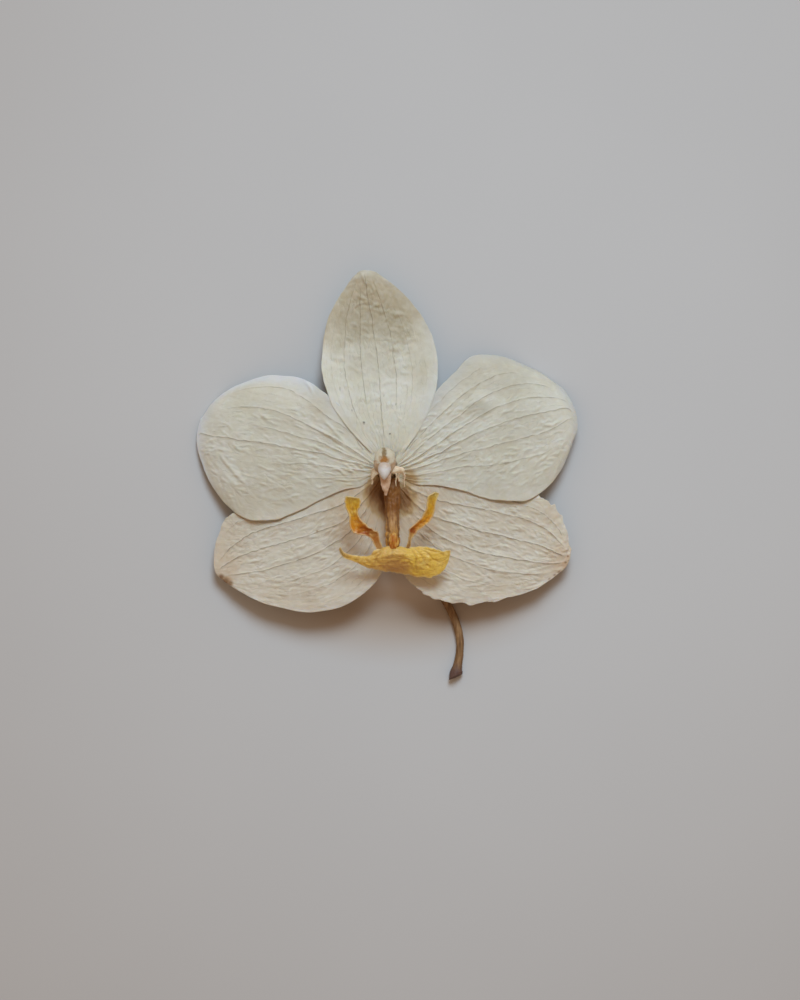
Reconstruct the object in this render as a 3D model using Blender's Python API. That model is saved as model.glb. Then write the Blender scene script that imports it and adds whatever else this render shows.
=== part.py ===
"""A dried white moth orchid flower, lying face up, cut with a short length of its stalk.

The flower is nine pieces that grew separately: a dorsal sepal, two petals, two lateral
sepals, the lip, the column, the anther cap on the column's end, and the pedicel, whose
widened top carries the others. Every blade is lofted across hand-placed ribs. A rib is one
edge, the midrib and the other edge, in millimetres: x to the right, y to the top of the
flower, z up from the surface that it lies on.

The flower rests on three small flat spots: the outer rim of each petal and the stalk.
"""

import bpy
import bmesh
from math import cos, pi, sin
from mathutils import Vector

MM = 0.001

# Driving sizes, in millimetres
BLADE_THICKNESS = 0.6
GAP = 0.3
RECEPTACLE_TOP = 5.9
STALK_RADIUS = 0.76
PETAL_SWELL = 0.05
SURFACE = 0.0

# Heights of the stacked bases, each one resting on the one below with the gap between them
HALF = BLADE_THICKNESS / 2
SEPAL_BASE = RECEPTACLE_TOP + GAP + HALF
PETAL_BASE = SEPAL_BASE + BLADE_THICKNESS + GAP
COLUMN_FOOT = PETAL_BASE + HALF + PETAL_SWELL + GAP

# Ribs of the five tepals, from base to tip
DORSAL_SEPAL = [
    ((-1.3, 2.2, SEPAL_BASE), (0.1, 2.0, SEPAL_BASE), (1.5, 2.2, SEPAL_BASE)),
    ((-3.6, 4.9, 8.8), (-0.1, 5.1, 8.0), (3.8, 4.9, 8.8)),
    ((-7.7, 9.3, 9.0), (-0.6, 9.3, 8.5), (6.7, 9.3, 9.0)),
    ((-10.9, 14.1, 8.4), (-1.2, 14.7, 7.6), (9.1, 14.3, 8.3)),
    ((-12.9, 20.5, 6.0), (-1.7, 20.7, 6.1), (10.3, 20.3, 6.2)),
    ((-12.7, 26.7, 4.0), (-2.4, 26.7, 4.7), (9.5, 26.5, 4.3)),
    ((-11.3, 32.3, 3.6), (-3.1, 32.3, 4.6), (6.9, 32.1, 3.9)),
    ((-8.9, 36.5, 3.9), (-3.7, 36.7, 5.2), (3.3, 36.3, 4.3)),
    ((-7.1, 39.1, 4.4), (-4.1, 39.5, 5.4), (0.3, 38.9, 4.7)),
    ((-5.5, 40.7, 4.7), (-3.9, 40.9, 5.0), (-2.1, 40.5, 4.8)),
]
PETAL_LEFT = [
    ((-1.5, 0.0, PETAL_BASE), (-1.7, 0.9, PETAL_BASE), (-1.8, 1.8, PETAL_BASE)),
    ((-4.9, -2.3, 7.7), (-4.9, 1.5, 7.7), (-4.3, 5.1, 7.4)),
    ((-8.7, -3.1, 7.8), (-9.3, 2.7, 7.7), (-6.1, 9.1, 7.5)),
    ((-13.7, -5.3, 7.6), (-15.1, 4.3, 7.3), (-9.1, 13.7, 6.9)),
    ((-19.3, -8.1, 7.0), (-21.1, 5.6, 6.6), (-12.9, 16.7, 5.9)),
    ((-24.9, -9.3, 6.2), (-27.1, 6.7, 5.6), (-17.3, 19.3, 4.5)),
    ((-29.3, -8.3, 5.2), (-32.1, 7.5, 4.2), (-23.5, 19.9, 2.9)),
    ((-32.9, -5.1, 3.9), (-35.5, 8.1, 2.8), (-29.7, 18.1, 1.3)),
    ((-35.7, -1.1, 2.8), (-37.4, 8.3, 1.6), (-34.3, 15.3, 0.3)),
    ((-37.5, 3.3, 2.0), (-38.2, 7.3, 1.2), (-37.5, 11.3, 0.4)),
]
PETAL_RIGHT = [
    ((1.6, 0.0, PETAL_BASE), (1.8, 1.0, PETAL_BASE), (1.9, 1.9, PETAL_BASE)),
    ((5.5, -1.9, 7.7), (5.1, 1.9, 7.7), (4.2, 5.1, 7.4)),
    ((10.3, -2.2, 7.8), (9.5, 3.9, 7.7), (5.6, 9.1, 7.5)),
    ((15.1, -3.2, 7.6), (14.7, 6.5, 7.3), (7.5, 13.5, 6.9)),
    ((19.7, -4.7, 7.3), (19.9, 8.8, 6.8), (10.3, 17.1, 6.1)),
    ((24.1, -5.3, 6.9), (25.1, 10.7, 6.1), (13.7, 20.5, 5.0)),
    ((28.3, -5.1, 6.2), (29.7, 11.9, 5.2), (17.1, 23.7, 3.8)),
    ((32.5, -2.3, 5.2), (33.5, 12.7, 4.1), (22.7, 23.8, 1.7)),
    ((35.5, 1.9, 4.2), (36.3, 13.0, 3.2), (29.7, 21.3, 0.0)),
    ((37.5, 7.3, 3.4), (38.2, 11.7, 2.7), (35.3, 17.5, 0.9)),
]
LATERAL_SEPAL_LEFT = [
    ((-1.9, -0.1, SEPAL_BASE), (-1.1, -0.9, SEPAL_BASE), (-0.1, -1.7, SEPAL_BASE)),
    ((-4.9, 0.1, 6.3), (-2.7, -3.7, 6.4), (0.3, -5.1, 6.4)),
    ((-8.3, -0.3, 6.1), (-4.7, -7.5, 6.3), (0.6, -9.1, 6.4)),
    ((-12.7, -1.3, 5.9), (-7.3, -11.1, 6.2), (0.6, -14.1, 6.6)),
    ((-17.7, -2.7, 5.4), (-10.7, -13.9, 6.0), (-0.5, -18.7, 6.8)),
    ((-22.9, -4.3, 4.6), (-15.3, -16.1, 5.7), (-3.3, -22.7, 6.9)),
    ((-27.3, -5.7, 3.7), (-20.3, -17.5, 5.2), (-8.7, -26.3, 6.6)),
    ((-30.9, -7.7, 2.8), (-25.3, -18.5, 4.6), (-16.3, -27.5, 6.0)),
    ((-33.3, -10.7, 2.3), (-29.7, -19.1, 3.9), (-24.5, -25.8, 5.0)),
    ((-34.5, -15.1, 2.2), (-32.9, -19.7, 3.2), (-29.7, -23.2, 3.9)),
    ((-34.6, -18.3, 2.4), (-34.1, -20.0, 2.8), (-32.7, -21.3, 3.0)),
]
LATERAL_SEPAL_RIGHT = [
    ((2.1, -0.3, SEPAL_BASE), (1.3, -1.1, SEPAL_BASE), (0.7, -1.9, SEPAL_BASE)),
    ((5.1, 0.1, 6.3), (2.9, -3.9, 6.4), (1.3, -5.3, 6.4)),
    ((8.7, -0.1, 6.1), (5.3, -7.5, 6.3), (1.6, -9.5, 6.4)),
    ((13.1, -0.7, 5.9), (8.7, -10.5, 6.2), (1.9, -14.3, 6.6)),
    ((17.9, -1.5, 5.7), (12.7, -12.7, 6.0), (3.1, -19.5, 6.8)),
    ((22.7, -2.3, 5.3), (17.5, -14.5, 5.8), (6.5, -23.0, 6.9)),
    ((27.5, -3.3, 4.7), (22.3, -15.7, 5.4), (10.9, -25.2, 6.7)),
    ((31.7, -4.9, 4.0), (26.7, -16.5, 4.9), (17.1, -25.9, 6.2)),
    ((34.5, -7.5, 3.4), (30.9, -17.1, 4.3), (24.3, -24.7, 5.4)),
    ((36.1, -11.1, 3.0), (33.9, -17.4, 3.7), (30.3, -22.7, 4.4)),
    ((36.9, -15.1, 2.9), (36.6, -17.3, 3.1), (35.5, -19.1, 3.3)),
]

# Ribs of the lip's parts, which grew as one piece
CLAW = [
    ((-0.6, -0.85, 8.8), (0.9, -0.85, 9.4), (2.5, -0.85, 8.8)),
    ((-0.5, -4.4, 9.1), (1.1, -4.4, 9.9), (2.7, -4.4, 9.1)),
    ((-0.4, -8.0, 9.6), (1.2, -8.0, 10.5), (2.6, -8.0, 9.6)),
    ((-0.1, -12.0, 10.6), (1.3, -12.0, 11.5), (2.4, -12.0, 10.6)),
    ((0.2, -15.8, 11.4), (1.4, -15.8, 12.0), (2.6, -15.8, 11.4)),
]
MIDLOBE = [
    ((-9.1, -14.4, 13.0), (-9.3, -14.7, 12.9), (-9.4, -15.0, 12.8)),
    ((-8.3, -15.5, 12.2), (-8.5, -16.0, 12.1), (-8.5, -16.5, 12.0)),
    ((-6.1, -16.1, 11.7), (-6.3, -16.7, 11.7), (-6.5, -17.2, 11.5)),
    ((-3.3, -16.0, 11.5), (-3.7, -17.3, 11.7), (-3.9, -18.5, 11.0)),
    ((-1.3, -14.7, 11.6), (-1.3, -16.7, 12.0), (-1.3, -19.0, 10.3)),
    ((0.9, -14.3, 11.5), (0.9, -16.5, 12.2), (0.9, -19.5, 9.4)),
    ((3.3, -14.4, 11.5), (3.3, -16.5, 12.2), (3.3, -19.7, 9.3)),
    ((5.9, -14.4, 11.6), (5.7, -16.9, 12.1), (5.7, -20.2, 10.2)),
    ((8.7, -14.5, 11.9), (8.7, -17.1, 11.9), (8.5, -20.5, 10.7)),
    ((10.9, -15.2, 12.0), (11.1, -17.1, 11.6), (10.9, -19.5, 10.8)),
    ((12.7, -15.0, 12.1), (12.6, -16.1, 11.7), (12.2, -17.7, 11.2)),
]
SIDE_LOBE_LEFT = [
    ((-1.5, -16.0, 11.5), (-0.9, -15.7, 11.6), (-0.3, -15.4, 11.5)),
    ((-2.5, -13.7, 12.0), (-1.9, -13.4, 11.9), (-1.3, -13.1, 12.0)),
    ((-3.2, -12.5, 12.5), (-2.5, -12.2, 12.2), (-1.7, -11.9, 12.6)),
    ((-4.7, -12.0, 13.0), (-3.9, -11.2, 12.5), (-2.7, -10.9, 13.2)),
    ((-6.4, -11.5, 13.4), (-5.4, -10.4, 12.9), (-4.1, -9.9, 13.7)),
    ((-7.2, -10.1, 13.9), (-6.2, -9.2, 13.4), (-5.1, -8.7, 14.1)),
    ((-7.3, -7.9, 14.4), (-6.5, -7.8, 13.9), (-5.7, -7.5, 14.5)),
    ((-8.1, -6.1, 14.8), (-6.7, -6.3, 14.4), (-5.2, -6.3, 14.9)),
    ((-8.1, -4.9, 15.1), (-6.7, -5.1, 14.8), (-5.1, -5.1, 15.2)),
    ((-7.3, -4.3, 15.2), (-6.5, -4.4, 15.1), (-5.7, -4.6, 15.2)),
]
SIDE_LOBE_RIGHT = [
    ((3.5, -15.6, 11.5), (4.0, -15.7, 11.6), (4.6, -15.7, 11.5)),
    ((4.2, -13.3, 12.0), (4.6, -13.3, 11.9), (5.0, -13.3, 12.0)),
    ((4.4, -11.9, 12.6), (4.9, -12.1, 12.2), (5.5, -12.3, 12.5)),
    ((4.5, -10.8, 13.2), (5.3, -11.0, 12.7), (6.2, -11.3, 13.0)),
    ((5.7, -10.0, 13.6), (6.5, -10.2, 13.1), (7.4, -10.4, 13.4)),
    ((6.9, -8.8, 14.1), (7.7, -9.0, 13.6), (8.5, -9.3, 13.9)),
    ((7.7, -7.3, 14.5), (8.6, -7.4, 14.0), (9.4, -7.6, 14.3)),
    ((8.1, -5.7, 14.8), (8.9, -5.7, 14.4), (9.7, -5.9, 14.7)),
    ((8.3, -4.5, 15.1), (9.1, -4.6, 14.8), (10.1, -4.7, 15.0)),
    ((9.4, -3.6, 15.3), (9.8, -3.6, 15.2), (10.3, -3.8, 15.3)),
]

# The column is turned upright from oval rings: centre x, y and height, half width, half depth
COLUMN_RINGS = [
    (-0.1, 1.2, COLUMN_FOOT, 2.1, 2.0),
    (-0.1, 1.8, 9.0, 2.1, 2.0),
    (-0.2, 2.3, 10.2, 2.0, 2.2),
    (-0.4, 2.3, 11.4, 2.1, 2.6),
    (-0.4, 1.9, 12.3, 2.1, 2.8),
    (-0.4, 1.4, 12.9, 1.8, 2.6),
    (-0.4, 1.1, 13.2, 1.3, 2.2),
]
BEAK = [
    ((-1.4, 0.2, 12.5), (-0.3, 0.2, 12.8), (0.9, 0.2, 12.5)),
    ((-1.2, -1.0, 12.5), (-0.2, -1.0, 12.9), (0.8, -1.0, 12.5)),
    ((-0.8, -2.6, 12.3), (-0.2, -2.6, 12.5), (0.5, -2.6, 12.3)),
    ((-0.4, -4.1, 11.85), (-0.1, -4.2, 11.9), (0.2, -4.1, 11.85)),
]
WING_LEFT = [
    ((-1.2, 1.9, 11.7), (-1.2, 1.2, 12.0), (-1.3, 0.3, 12.1)),
    ((-2.4, 1.5, 11.3), (-2.3, 0.7, 11.7), (-2.2, -0.3, 11.8)),
    ((-3.1, 0.7, 10.7), (-3.0, -0.1, 11.1), (-2.8, -0.9, 11.3)),
    ((-3.2, -0.3, 10.2), (-3.1, -0.7, 10.5), (-3.0, -1.2, 10.7)),
]
WING_RIGHT = [
    ((0.6, 1.9, 12.0), (0.6, 1.1, 12.2), (0.6, 0.3, 12.1)),
    ((1.9, 1.5, 12.1), (1.9, 0.9, 12.3), (1.9, 0.2, 12.0)),
    ((3.0, 1.3, 11.9), (3.0, 0.8, 12.1), (2.9, 0.3, 11.8)),
    ((3.6, 0.9, 11.6), (3.5, 0.7, 11.7), (3.3, 0.4, 11.5)),
]

# The anther cap is a small hood of the same kind of rings, set down on the column
ANTHER_SEAT = COLUMN_RINGS[-1][2] + GAP
ANTHER_RINGS = [
    (-0.4, 0.75, ANTHER_SEAT, 1.15, 1.45),
    (-0.4, 0.75, ANTHER_SEAT + 0.35, 1.3, 1.6),
    (-0.4, 0.75, ANTHER_SEAT + 0.8, 1.15, 1.4),
    (-0.4, 0.8, ANTHER_SEAT + 1.15, 0.7, 0.9),
    (-0.4, 0.8, ANTHER_SEAT + 1.25, 0.3, 0.4),
]

# The callus is a small knob at the root of the midlobe
CALLUS_CENTRE = (1.5, -13.7, 12.2)
CALLUS_SIZE = (0.75, 1.5, 0.8)

# The pedicel runs from its widened top, down and out under the right lateral sepal
PEDICEL_PATH = [
    (0.1, 0.7, RECEPTACLE_TOP),
    (0.1, 0.7, 5.3),
    (0.15, 0.4, 4.3),
    (0.6, -1.4, 3.3),
    (1.5, -4.4, 2.7),
    (3.3, -9.3, 2.1),
    (6.4, -16.1, 1.6),
    (9.9, -22.3, 1.2),
    (12.4, -26.3, 0.9),
    (14.0, -29.9, 0.75),
    (14.75, -33.1, 0.72),
    (14.7, -35.9, 0.74),
    (14.3, -38.3, 0.8),
    (14.0, -39.7, 0.9),
    (13.9, -40.7, 1.1),
]
PEDICEL_RADII = [
    2.1, 2.0, 1.5, 1.2, 1.15, 1.05, 0.95, 0.85, 0.8, STALK_RADIUS,
    STALK_RADIUS, STALK_RADIUS, 0.85, 1.15, 1.2,
]

# How fine each blade is: cells from base to tip, and cells across
TEPAL_CELLS = (26, 12)
LOBE_CELLS = (20, 6)
WING_CELLS = (6, 2)


def clear_scene():
    """Take away whatever the new file came with."""
    for item in list(bpy.data.objects):
        bpy.data.objects.remove(item, do_unlink=True)


def dried_surface(name, colour, roughness):
    """A plain matt material in the piece's own colour."""
    material = bpy.data.materials.new(name)
    material.use_nodes = True
    shader = material.node_tree.nodes["Principled BSDF"]
    shader.inputs["Base Color"].default_value = (*colour, 1.0)
    shader.inputs["Roughness"].default_value = roughness
    shader.inputs["Metallic"].default_value = 0.0
    return material


def along(points, t):
    """The place at t, from 0 to 1, on the smooth curve through the points."""
    last = len(points) - 1
    place = min(max(t, 0.0), 1.0) * last
    i = min(int(place), last - 1)
    f = place - i
    here = Vector(points[i])
    there = Vector(points[i + 1])
    before = Vector(points[i - 1]) if i > 0 else 2 * here - there
    after = Vector(points[i + 2]) if i + 2 <= last else 2 * there - here
    pull_in = (there - before) / 2
    pull_out = (after - here) / 2
    return (
        here * (2 * f**3 - 3 * f**2 + 1)
        + pull_in * (f**3 - 2 * f**2 + f)
        + there * (3 * f**2 - 2 * f**3)
        + pull_out * (f**3 - f**2)
    )


def across(ribs, t, v):
    """The place on a blade at t from base to tip and v from one edge, -1, to the other, 1."""
    near = along([rib[0] for rib in ribs], t)
    middle = along([rib[1] for rib in ribs], t)
    far = along([rib[2] for rib in ribs], t)
    return middle + (far - near) * v / 2 + ((near + far) / 2 - middle) * v * v


def ripple(t, v, depth, beats):
    """The drying wave of a blade: none at its base, and deepest along its edges."""
    edge = abs(v) ** 3 * sin(2 * pi * beats * t + 1.7 * v)
    middle = 0.3 * cos(pi * beats * t) * cos(2.5 * v)
    return depth * min(1.0, 3 * t) * (edge + middle)


def object_from(name, mesh_maker, material):
    """A new object with one closed mesh, its faces pointing out and its sides smooth."""
    maker = bmesh.new()
    mesh_maker(maker)
    bmesh.ops.recalc_face_normals(maker, faces=maker.faces)
    mesh = bpy.data.meshes.new(name)
    maker.to_mesh(mesh)
    maker.free()
    mesh.materials.append(material)
    mesh.shade_smooth()
    item = bpy.data.objects.new(name, mesh)
    bpy.context.scene.collection.objects.link(item)
    return item


def blade(name, ribs, cells, material, depth=0.0, beats=0.0):
    """A thin waved blade of even thickness, its two faces cut into triangles alike."""
    rows, columns = cells
    place = [
        [across(ribs, i / rows, 2 * j / columns - 1) for j in range(columns + 1)]
        for i in range(rows + 1)
    ]
    for i in range(rows + 1):
        for j in range(columns + 1):
            place[i][j].z += ripple(i / rows, 2 * j / columns - 1, depth, beats)

    def facing(i, j):
        """The upward normal of the middle surface."""
        along_blade = place[min(i + 1, rows)][j] - place[max(i - 1, 0)][j]
        across_blade = place[i][min(j + 1, columns)] - place[i][max(j - 1, 0)]
        normal = across_blade.cross(along_blade).normalized()
        return normal if normal.z > 0 else -normal

    def make(maker):
        sheets = []
        for side in (1, -1):
            sheet = []
            for i in range(rows + 1):
                row = []
                for j in range(columns + 1):
                    spot = place[i][j] + facing(i, j) * HALF * side
                    spot.z = max(spot.z, SURFACE)
                    row.append(maker.verts.new(spot * MM))
                sheet.append(row)
            sheets.append(sheet)
        for sheet in sheets:
            for i in range(rows):
                for j in range(columns):
                    a, b = sheet[i][j], sheet[i][j + 1]
                    c, d = sheet[i + 1][j + 1], sheet[i + 1][j]
                    maker.faces.new((a, b, c))
                    maker.faces.new((a, c, d))
        rim = [(0, j) for j in range(columns)]
        rim += [(i, columns) for i in range(rows)]
        rim += [(rows, j) for j in range(columns, 0, -1)]
        rim += [(i, 0) for i in range(rows, 0, -1)]
        over, under = sheets
        for (i, j), (k, m) in zip(rim, rim[1:] + rim[:1]):
            maker.faces.new((over[i][j], over[k][m], under[k][m], under[i][j]))

    return object_from(name, make, material)


def bridged(name, rings, material):
    """A closed body from a run of rings of points, with flat ends."""
    def make(maker):
        loops = [[maker.verts.new(spot * MM) for spot in ring] for ring in rings]
        count = len(loops[0])
        for low, high in zip(loops, loops[1:]):
            for k in range(count):
                nxt = (k + 1) % count
                maker.faces.new((low[k], low[nxt], high[nxt], high[k]))
        maker.faces.new(loops[0])
        maker.faces.new(loops[-1])

    return object_from(name, make, material)


def oval_rings(table, sides):
    """Level oval rings, one for each row of centre, half width and half depth."""
    rings = []
    for x, y, height, half_width, half_depth in table:
        ring = []
        for k in range(sides):
            turn = 2 * pi * k / sides
            ring.append(Vector((x + half_width * cos(turn), y + half_depth * sin(turn), height)))
        rings.append(ring)
    return rings


def stalk_rings(path, radii, steps, sides):
    """Round rings square to a smooth path, flattened where they would sink in the surface."""
    rings = []
    for step in range(steps + 1):
        t = step / steps
        centre = along(path, t)
        ahead = (along(path, min(t + 0.004, 1.0)) - along(path, max(t - 0.004, 0.0))).normalized()
        sideways = Vector((1.0, 0.35, 0.0))
        sideways = (sideways - ahead * sideways.dot(ahead)).normalized()
        upward = sideways.cross(ahead)
        radius = along([(value, 0.0, 0.0) for value in radii], t).x
        ring = []
        for k in range(sides):
            turn = 2 * pi * k / sides
            spot = centre + (sideways * cos(turn) + upward * sin(turn)) * radius
            spot.z = max(spot.z, SURFACE)
            ring.append(spot)
        rings.append(ring)
    return rings


def ball(name, centre, size, material):
    """A rounded knob with its own half sizes."""
    def make(maker):
        bmesh.ops.create_icosphere(maker, subdivisions=2, radius=1.0)
        for vert in maker.verts:
            vert.co = Vector(c + half * along_axis for c, half, along_axis in zip(centre, size, vert.co))
            vert.co *= MM

    return object_from(name, make, material)


def join(body, pieces):
    """Fuse the pieces into the body by one union, and take them away."""
    group = bpy.data.collections.new(body.name + "_pieces")
    bpy.context.scene.collection.children.link(group)
    for piece in pieces:
        bpy.context.scene.collection.objects.unlink(piece)
        group.objects.link(piece)
    union = body.modifiers.new("union", "BOOLEAN")
    union.operation = "UNION"
    union.operand_type = "COLLECTION"
    union.collection = group
    union.solver = "EXACT"
    union.use_self = False
    bpy.context.view_layer.objects.active = body
    bpy.ops.object.modifier_apply(modifier=union.name)
    for piece in pieces:
        bpy.data.objects.remove(piece, do_unlink=True)
    bpy.data.collections.remove(group)


def make_tepals():
    """The three sepals and the two petals."""
    white = dried_surface("dried_tepal", (0.62, 0.59, 0.50), 0.75)
    blade("dorsal_sepal", DORSAL_SEPAL, TEPAL_CELLS, white, depth=0.25, beats=2.2)
    blade("petal_left", PETAL_LEFT, TEPAL_CELLS, white, depth=0.25, beats=2.6)
    blade("petal_right", PETAL_RIGHT, TEPAL_CELLS, white, depth=0.25, beats=2.4)
    blade("lateral_sepal_left", LATERAL_SEPAL_LEFT, TEPAL_CELLS, white, depth=0.25, beats=2.3)
    blade("lateral_sepal_right", LATERAL_SEPAL_RIGHT, TEPAL_CELLS, white, depth=0.25, beats=2.1)


def make_lip():
    """The lip: its claw, the callus, two upright side lobes and the wide midlobe."""
    yellow = dried_surface("dried_lip", (0.60, 0.36, 0.07), 0.6)
    lip = blade("lip", CLAW, LOBE_CELLS, yellow)
    pieces = [
        blade("midlobe", MIDLOBE, LOBE_CELLS, yellow),
        blade("side_lobe_left", SIDE_LOBE_LEFT, LOBE_CELLS, yellow),
        blade("side_lobe_right", SIDE_LOBE_RIGHT, LOBE_CELLS, yellow),
        ball("callus", CALLUS_CENTRE, CALLUS_SIZE, yellow),
    ]
    join(lip, pieces)


def make_column():
    """The column with its beak and two wings, and the anther cap on its end."""
    brown = dried_surface("dried_column", (0.42, 0.29, 0.18), 0.7)
    column = bridged("column", oval_rings(COLUMN_RINGS, 20), brown)
    pieces = [
        blade("beak", BEAK, WING_CELLS, brown),
        blade("wing_left", WING_LEFT, WING_CELLS, brown),
        blade("wing_right", WING_RIGHT, WING_CELLS, brown),
    ]
    join(column, pieces)
    cream = dried_surface("anther_cap", (0.72, 0.68, 0.62), 0.45)
    bridged("anther_cap", oval_rings(ANTHER_RINGS, 16), cream)


def make_pedicel():
    """The stalk, with the widened top that carries the flower and the spread cut end."""
    bark = dried_surface("dried_stalk", (0.20, 0.11, 0.06), 0.8)
    bridged("pedicel", stalk_rings(PEDICEL_PATH, PEDICEL_RADII, 42, 10), bark)


def main():
    clear_scene()
    make_tepals()
    make_lip()
    make_column()
    make_pedicel()


main()
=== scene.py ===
"""The looks of a dried white moth orchid flower, lying face up on a pale surface.

Every blade is a fine grid, lofted over the same ribs as its solid and raised into veins,
pleats and puckers before it gets its thickness. The column, the anther cap and the stalk
are balls drawn out over rings. All positions in the tables are in millimetres.
"""

import random
from math import cos, pi, sin
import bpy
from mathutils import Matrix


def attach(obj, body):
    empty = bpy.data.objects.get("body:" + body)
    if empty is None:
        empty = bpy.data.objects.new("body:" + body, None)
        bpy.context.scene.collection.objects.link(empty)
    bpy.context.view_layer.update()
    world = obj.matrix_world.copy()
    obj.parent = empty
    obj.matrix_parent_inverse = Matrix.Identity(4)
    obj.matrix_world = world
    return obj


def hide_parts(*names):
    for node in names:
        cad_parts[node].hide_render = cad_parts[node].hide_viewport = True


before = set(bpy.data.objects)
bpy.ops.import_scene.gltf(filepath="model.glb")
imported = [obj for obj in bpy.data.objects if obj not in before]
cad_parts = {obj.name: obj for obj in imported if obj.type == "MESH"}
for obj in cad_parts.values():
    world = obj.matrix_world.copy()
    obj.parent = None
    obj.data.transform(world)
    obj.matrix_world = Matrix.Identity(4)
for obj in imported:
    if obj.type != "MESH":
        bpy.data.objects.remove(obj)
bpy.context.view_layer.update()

from types import SimpleNamespace

import bpy
import numpy as np
from mathutils import Vector, noise

MM = 0.001
# Thicknesses of the tissues, and the lowest place of any of them
TISSUE = 0.11
LIP_TISSUE = 0.22
WING_TISSUE = 0.18
CLAW_THICKNESS = 0.5
SURFACE = 0.02

# How far along a blade its vein ridges stand higher, and how long its base is held still
RISE_RUN = 6.0
BASE_REST = 1.5

# Sizes of the relief: its grit, its broad waves, the waves of its rim, and where its lanes sag in full
GRIT_SIZE = 0.7
CRUMPLE_SIZE = 5.0
RIM_WAVE_LENGTH = 1.8
SAG_RIM = 4.0

# How far a short pucker may turn from its lean, its least and greatest width, and how much it bows
PUCKER_TURN = 0.6
PUCKER_WIDTHS = (0.13, 0.25)
PUCKER_BOW = 0.3

# Seeds of the noise that frays the stains and the patches of tan and painted shade
STAIN_SEED = 31
TAN_SEED = 41

# Heights of the stacked bases, as in the solids
SEPAL_BASE = 6.5
PETAL_BASE = 7.4
COLUMN_FOOT = 8.05

# Ribs of the five tepals, from base to tip: one edge, the midrib, the other edge
DORSAL_SEPAL = [
    ((-1.3, 2.2, SEPAL_BASE), (0.1, 2.0, SEPAL_BASE), (1.5, 2.2, SEPAL_BASE)),
    ((-3.6, 4.9, 8.15), (-0.1, 5.1, 8.0), (3.8, 4.9, 8.15)),
    ((-7.7, 9.3, 7.9), (-0.6, 9.3, 8.5), (6.7, 9.3, 8.1)),
    ((-10.9, 14.1, 7.5), (-1.2, 14.7, 7.6), (9.1, 14.3, 7.5)),
    ((-12.9, 20.5, 6.0), (-1.7, 20.7, 6.1), (10.3, 20.3, 6.2)),
    ((-12.7, 26.7, 4.0), (-2.4, 26.7, 4.7), (9.5, 26.5, 4.3)),
    ((-11.3, 32.3, 3.6), (-3.1, 32.3, 4.6), (6.9, 32.1, 3.9)),
    ((-8.9, 36.5, 3.9), (-3.7, 36.7, 5.2), (3.3, 36.3, 4.3)),
    ((-7.1, 39.1, 4.4), (-4.1, 39.5, 5.4), (0.3, 38.9, 4.7)),
    ((-5.5, 40.7, 4.7), (-3.9, 40.9, 5.0), (-2.1, 40.5, 4.8)),
]
PETAL_LEFT = [
    ((-1.5, 0.0, PETAL_BASE), (-1.7, 0.9, PETAL_BASE), (-1.4, 2.4, PETAL_BASE)),
    ((-4.9, -2.3, 7.4), (-4.9, 1.5, 7.7), (-3.2, 6.0, 7.3)),
    ((-8.7, -3.1, 7.5), (-9.3, 2.7, 7.7), (-5.2, 10.2, 7.4)),
    ((-13.7, -5.3, 7.35), (-15.1, 4.3, 7.3), (-9.1, 13.7, 6.9)),
    ((-19.3, -8.1, 7.0), (-21.1, 5.6, 6.6), (-12.9, 16.7, 5.9)),
    ((-24.9, -9.3, 6.2), (-27.1, 6.7, 5.6), (-17.3, 19.3, 4.5)),
    ((-29.3, -8.3, 5.2), (-32.1, 7.5, 4.2), (-23.5, 19.9, 2.9)),
    ((-32.9, -5.1, 3.9), (-35.5, 8.1, 2.8), (-29.7, 18.1, 1.3)),
    ((-35.7, -1.1, 2.8), (-37.4, 8.3, 1.6), (-34.3, 15.3, 0.3)),
    ((-37.5, 3.3, 2.0), (-38.2, 7.3, 1.2), (-37.5, 11.3, 0.4)),
]
PETAL_RIGHT = [
    ((1.6, 0.0, PETAL_BASE), (1.8, 1.0, PETAL_BASE), (1.5, 2.5, PETAL_BASE)),
    ((5.5, -1.9, 7.6), (5.1, 1.9, 7.7), (3.1, 6.1, 7.3)),
    ((10.3, -2.2, 7.6), (9.5, 3.9, 7.7), (4.6, 10.3, 7.4)),
    ((15.1, -3.2, 7.4), (14.7, 6.5, 7.3), (7.5, 13.5, 6.9)),
    ((19.7, -4.7, 7.1), (19.9, 8.8, 6.8), (10.3, 17.1, 6.1)),
    ((24.1, -5.3, 6.9), (25.1, 10.7, 6.1), (13.7, 20.5, 5.0)),
    ((28.3, -5.1, 6.2), (29.7, 11.9, 5.2), (17.1, 23.7, 3.8)),
    ((32.5, -2.3, 5.2), (33.5, 12.7, 4.1), (22.7, 23.8, 1.7)),
    ((35.5, 1.9, 4.2), (36.3, 13.0, 3.2), (29.7, 21.3, 0.0)),
    ((37.5, 7.3, 3.4), (38.2, 11.7, 2.7), (35.3, 17.5, 0.9)),
]
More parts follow.
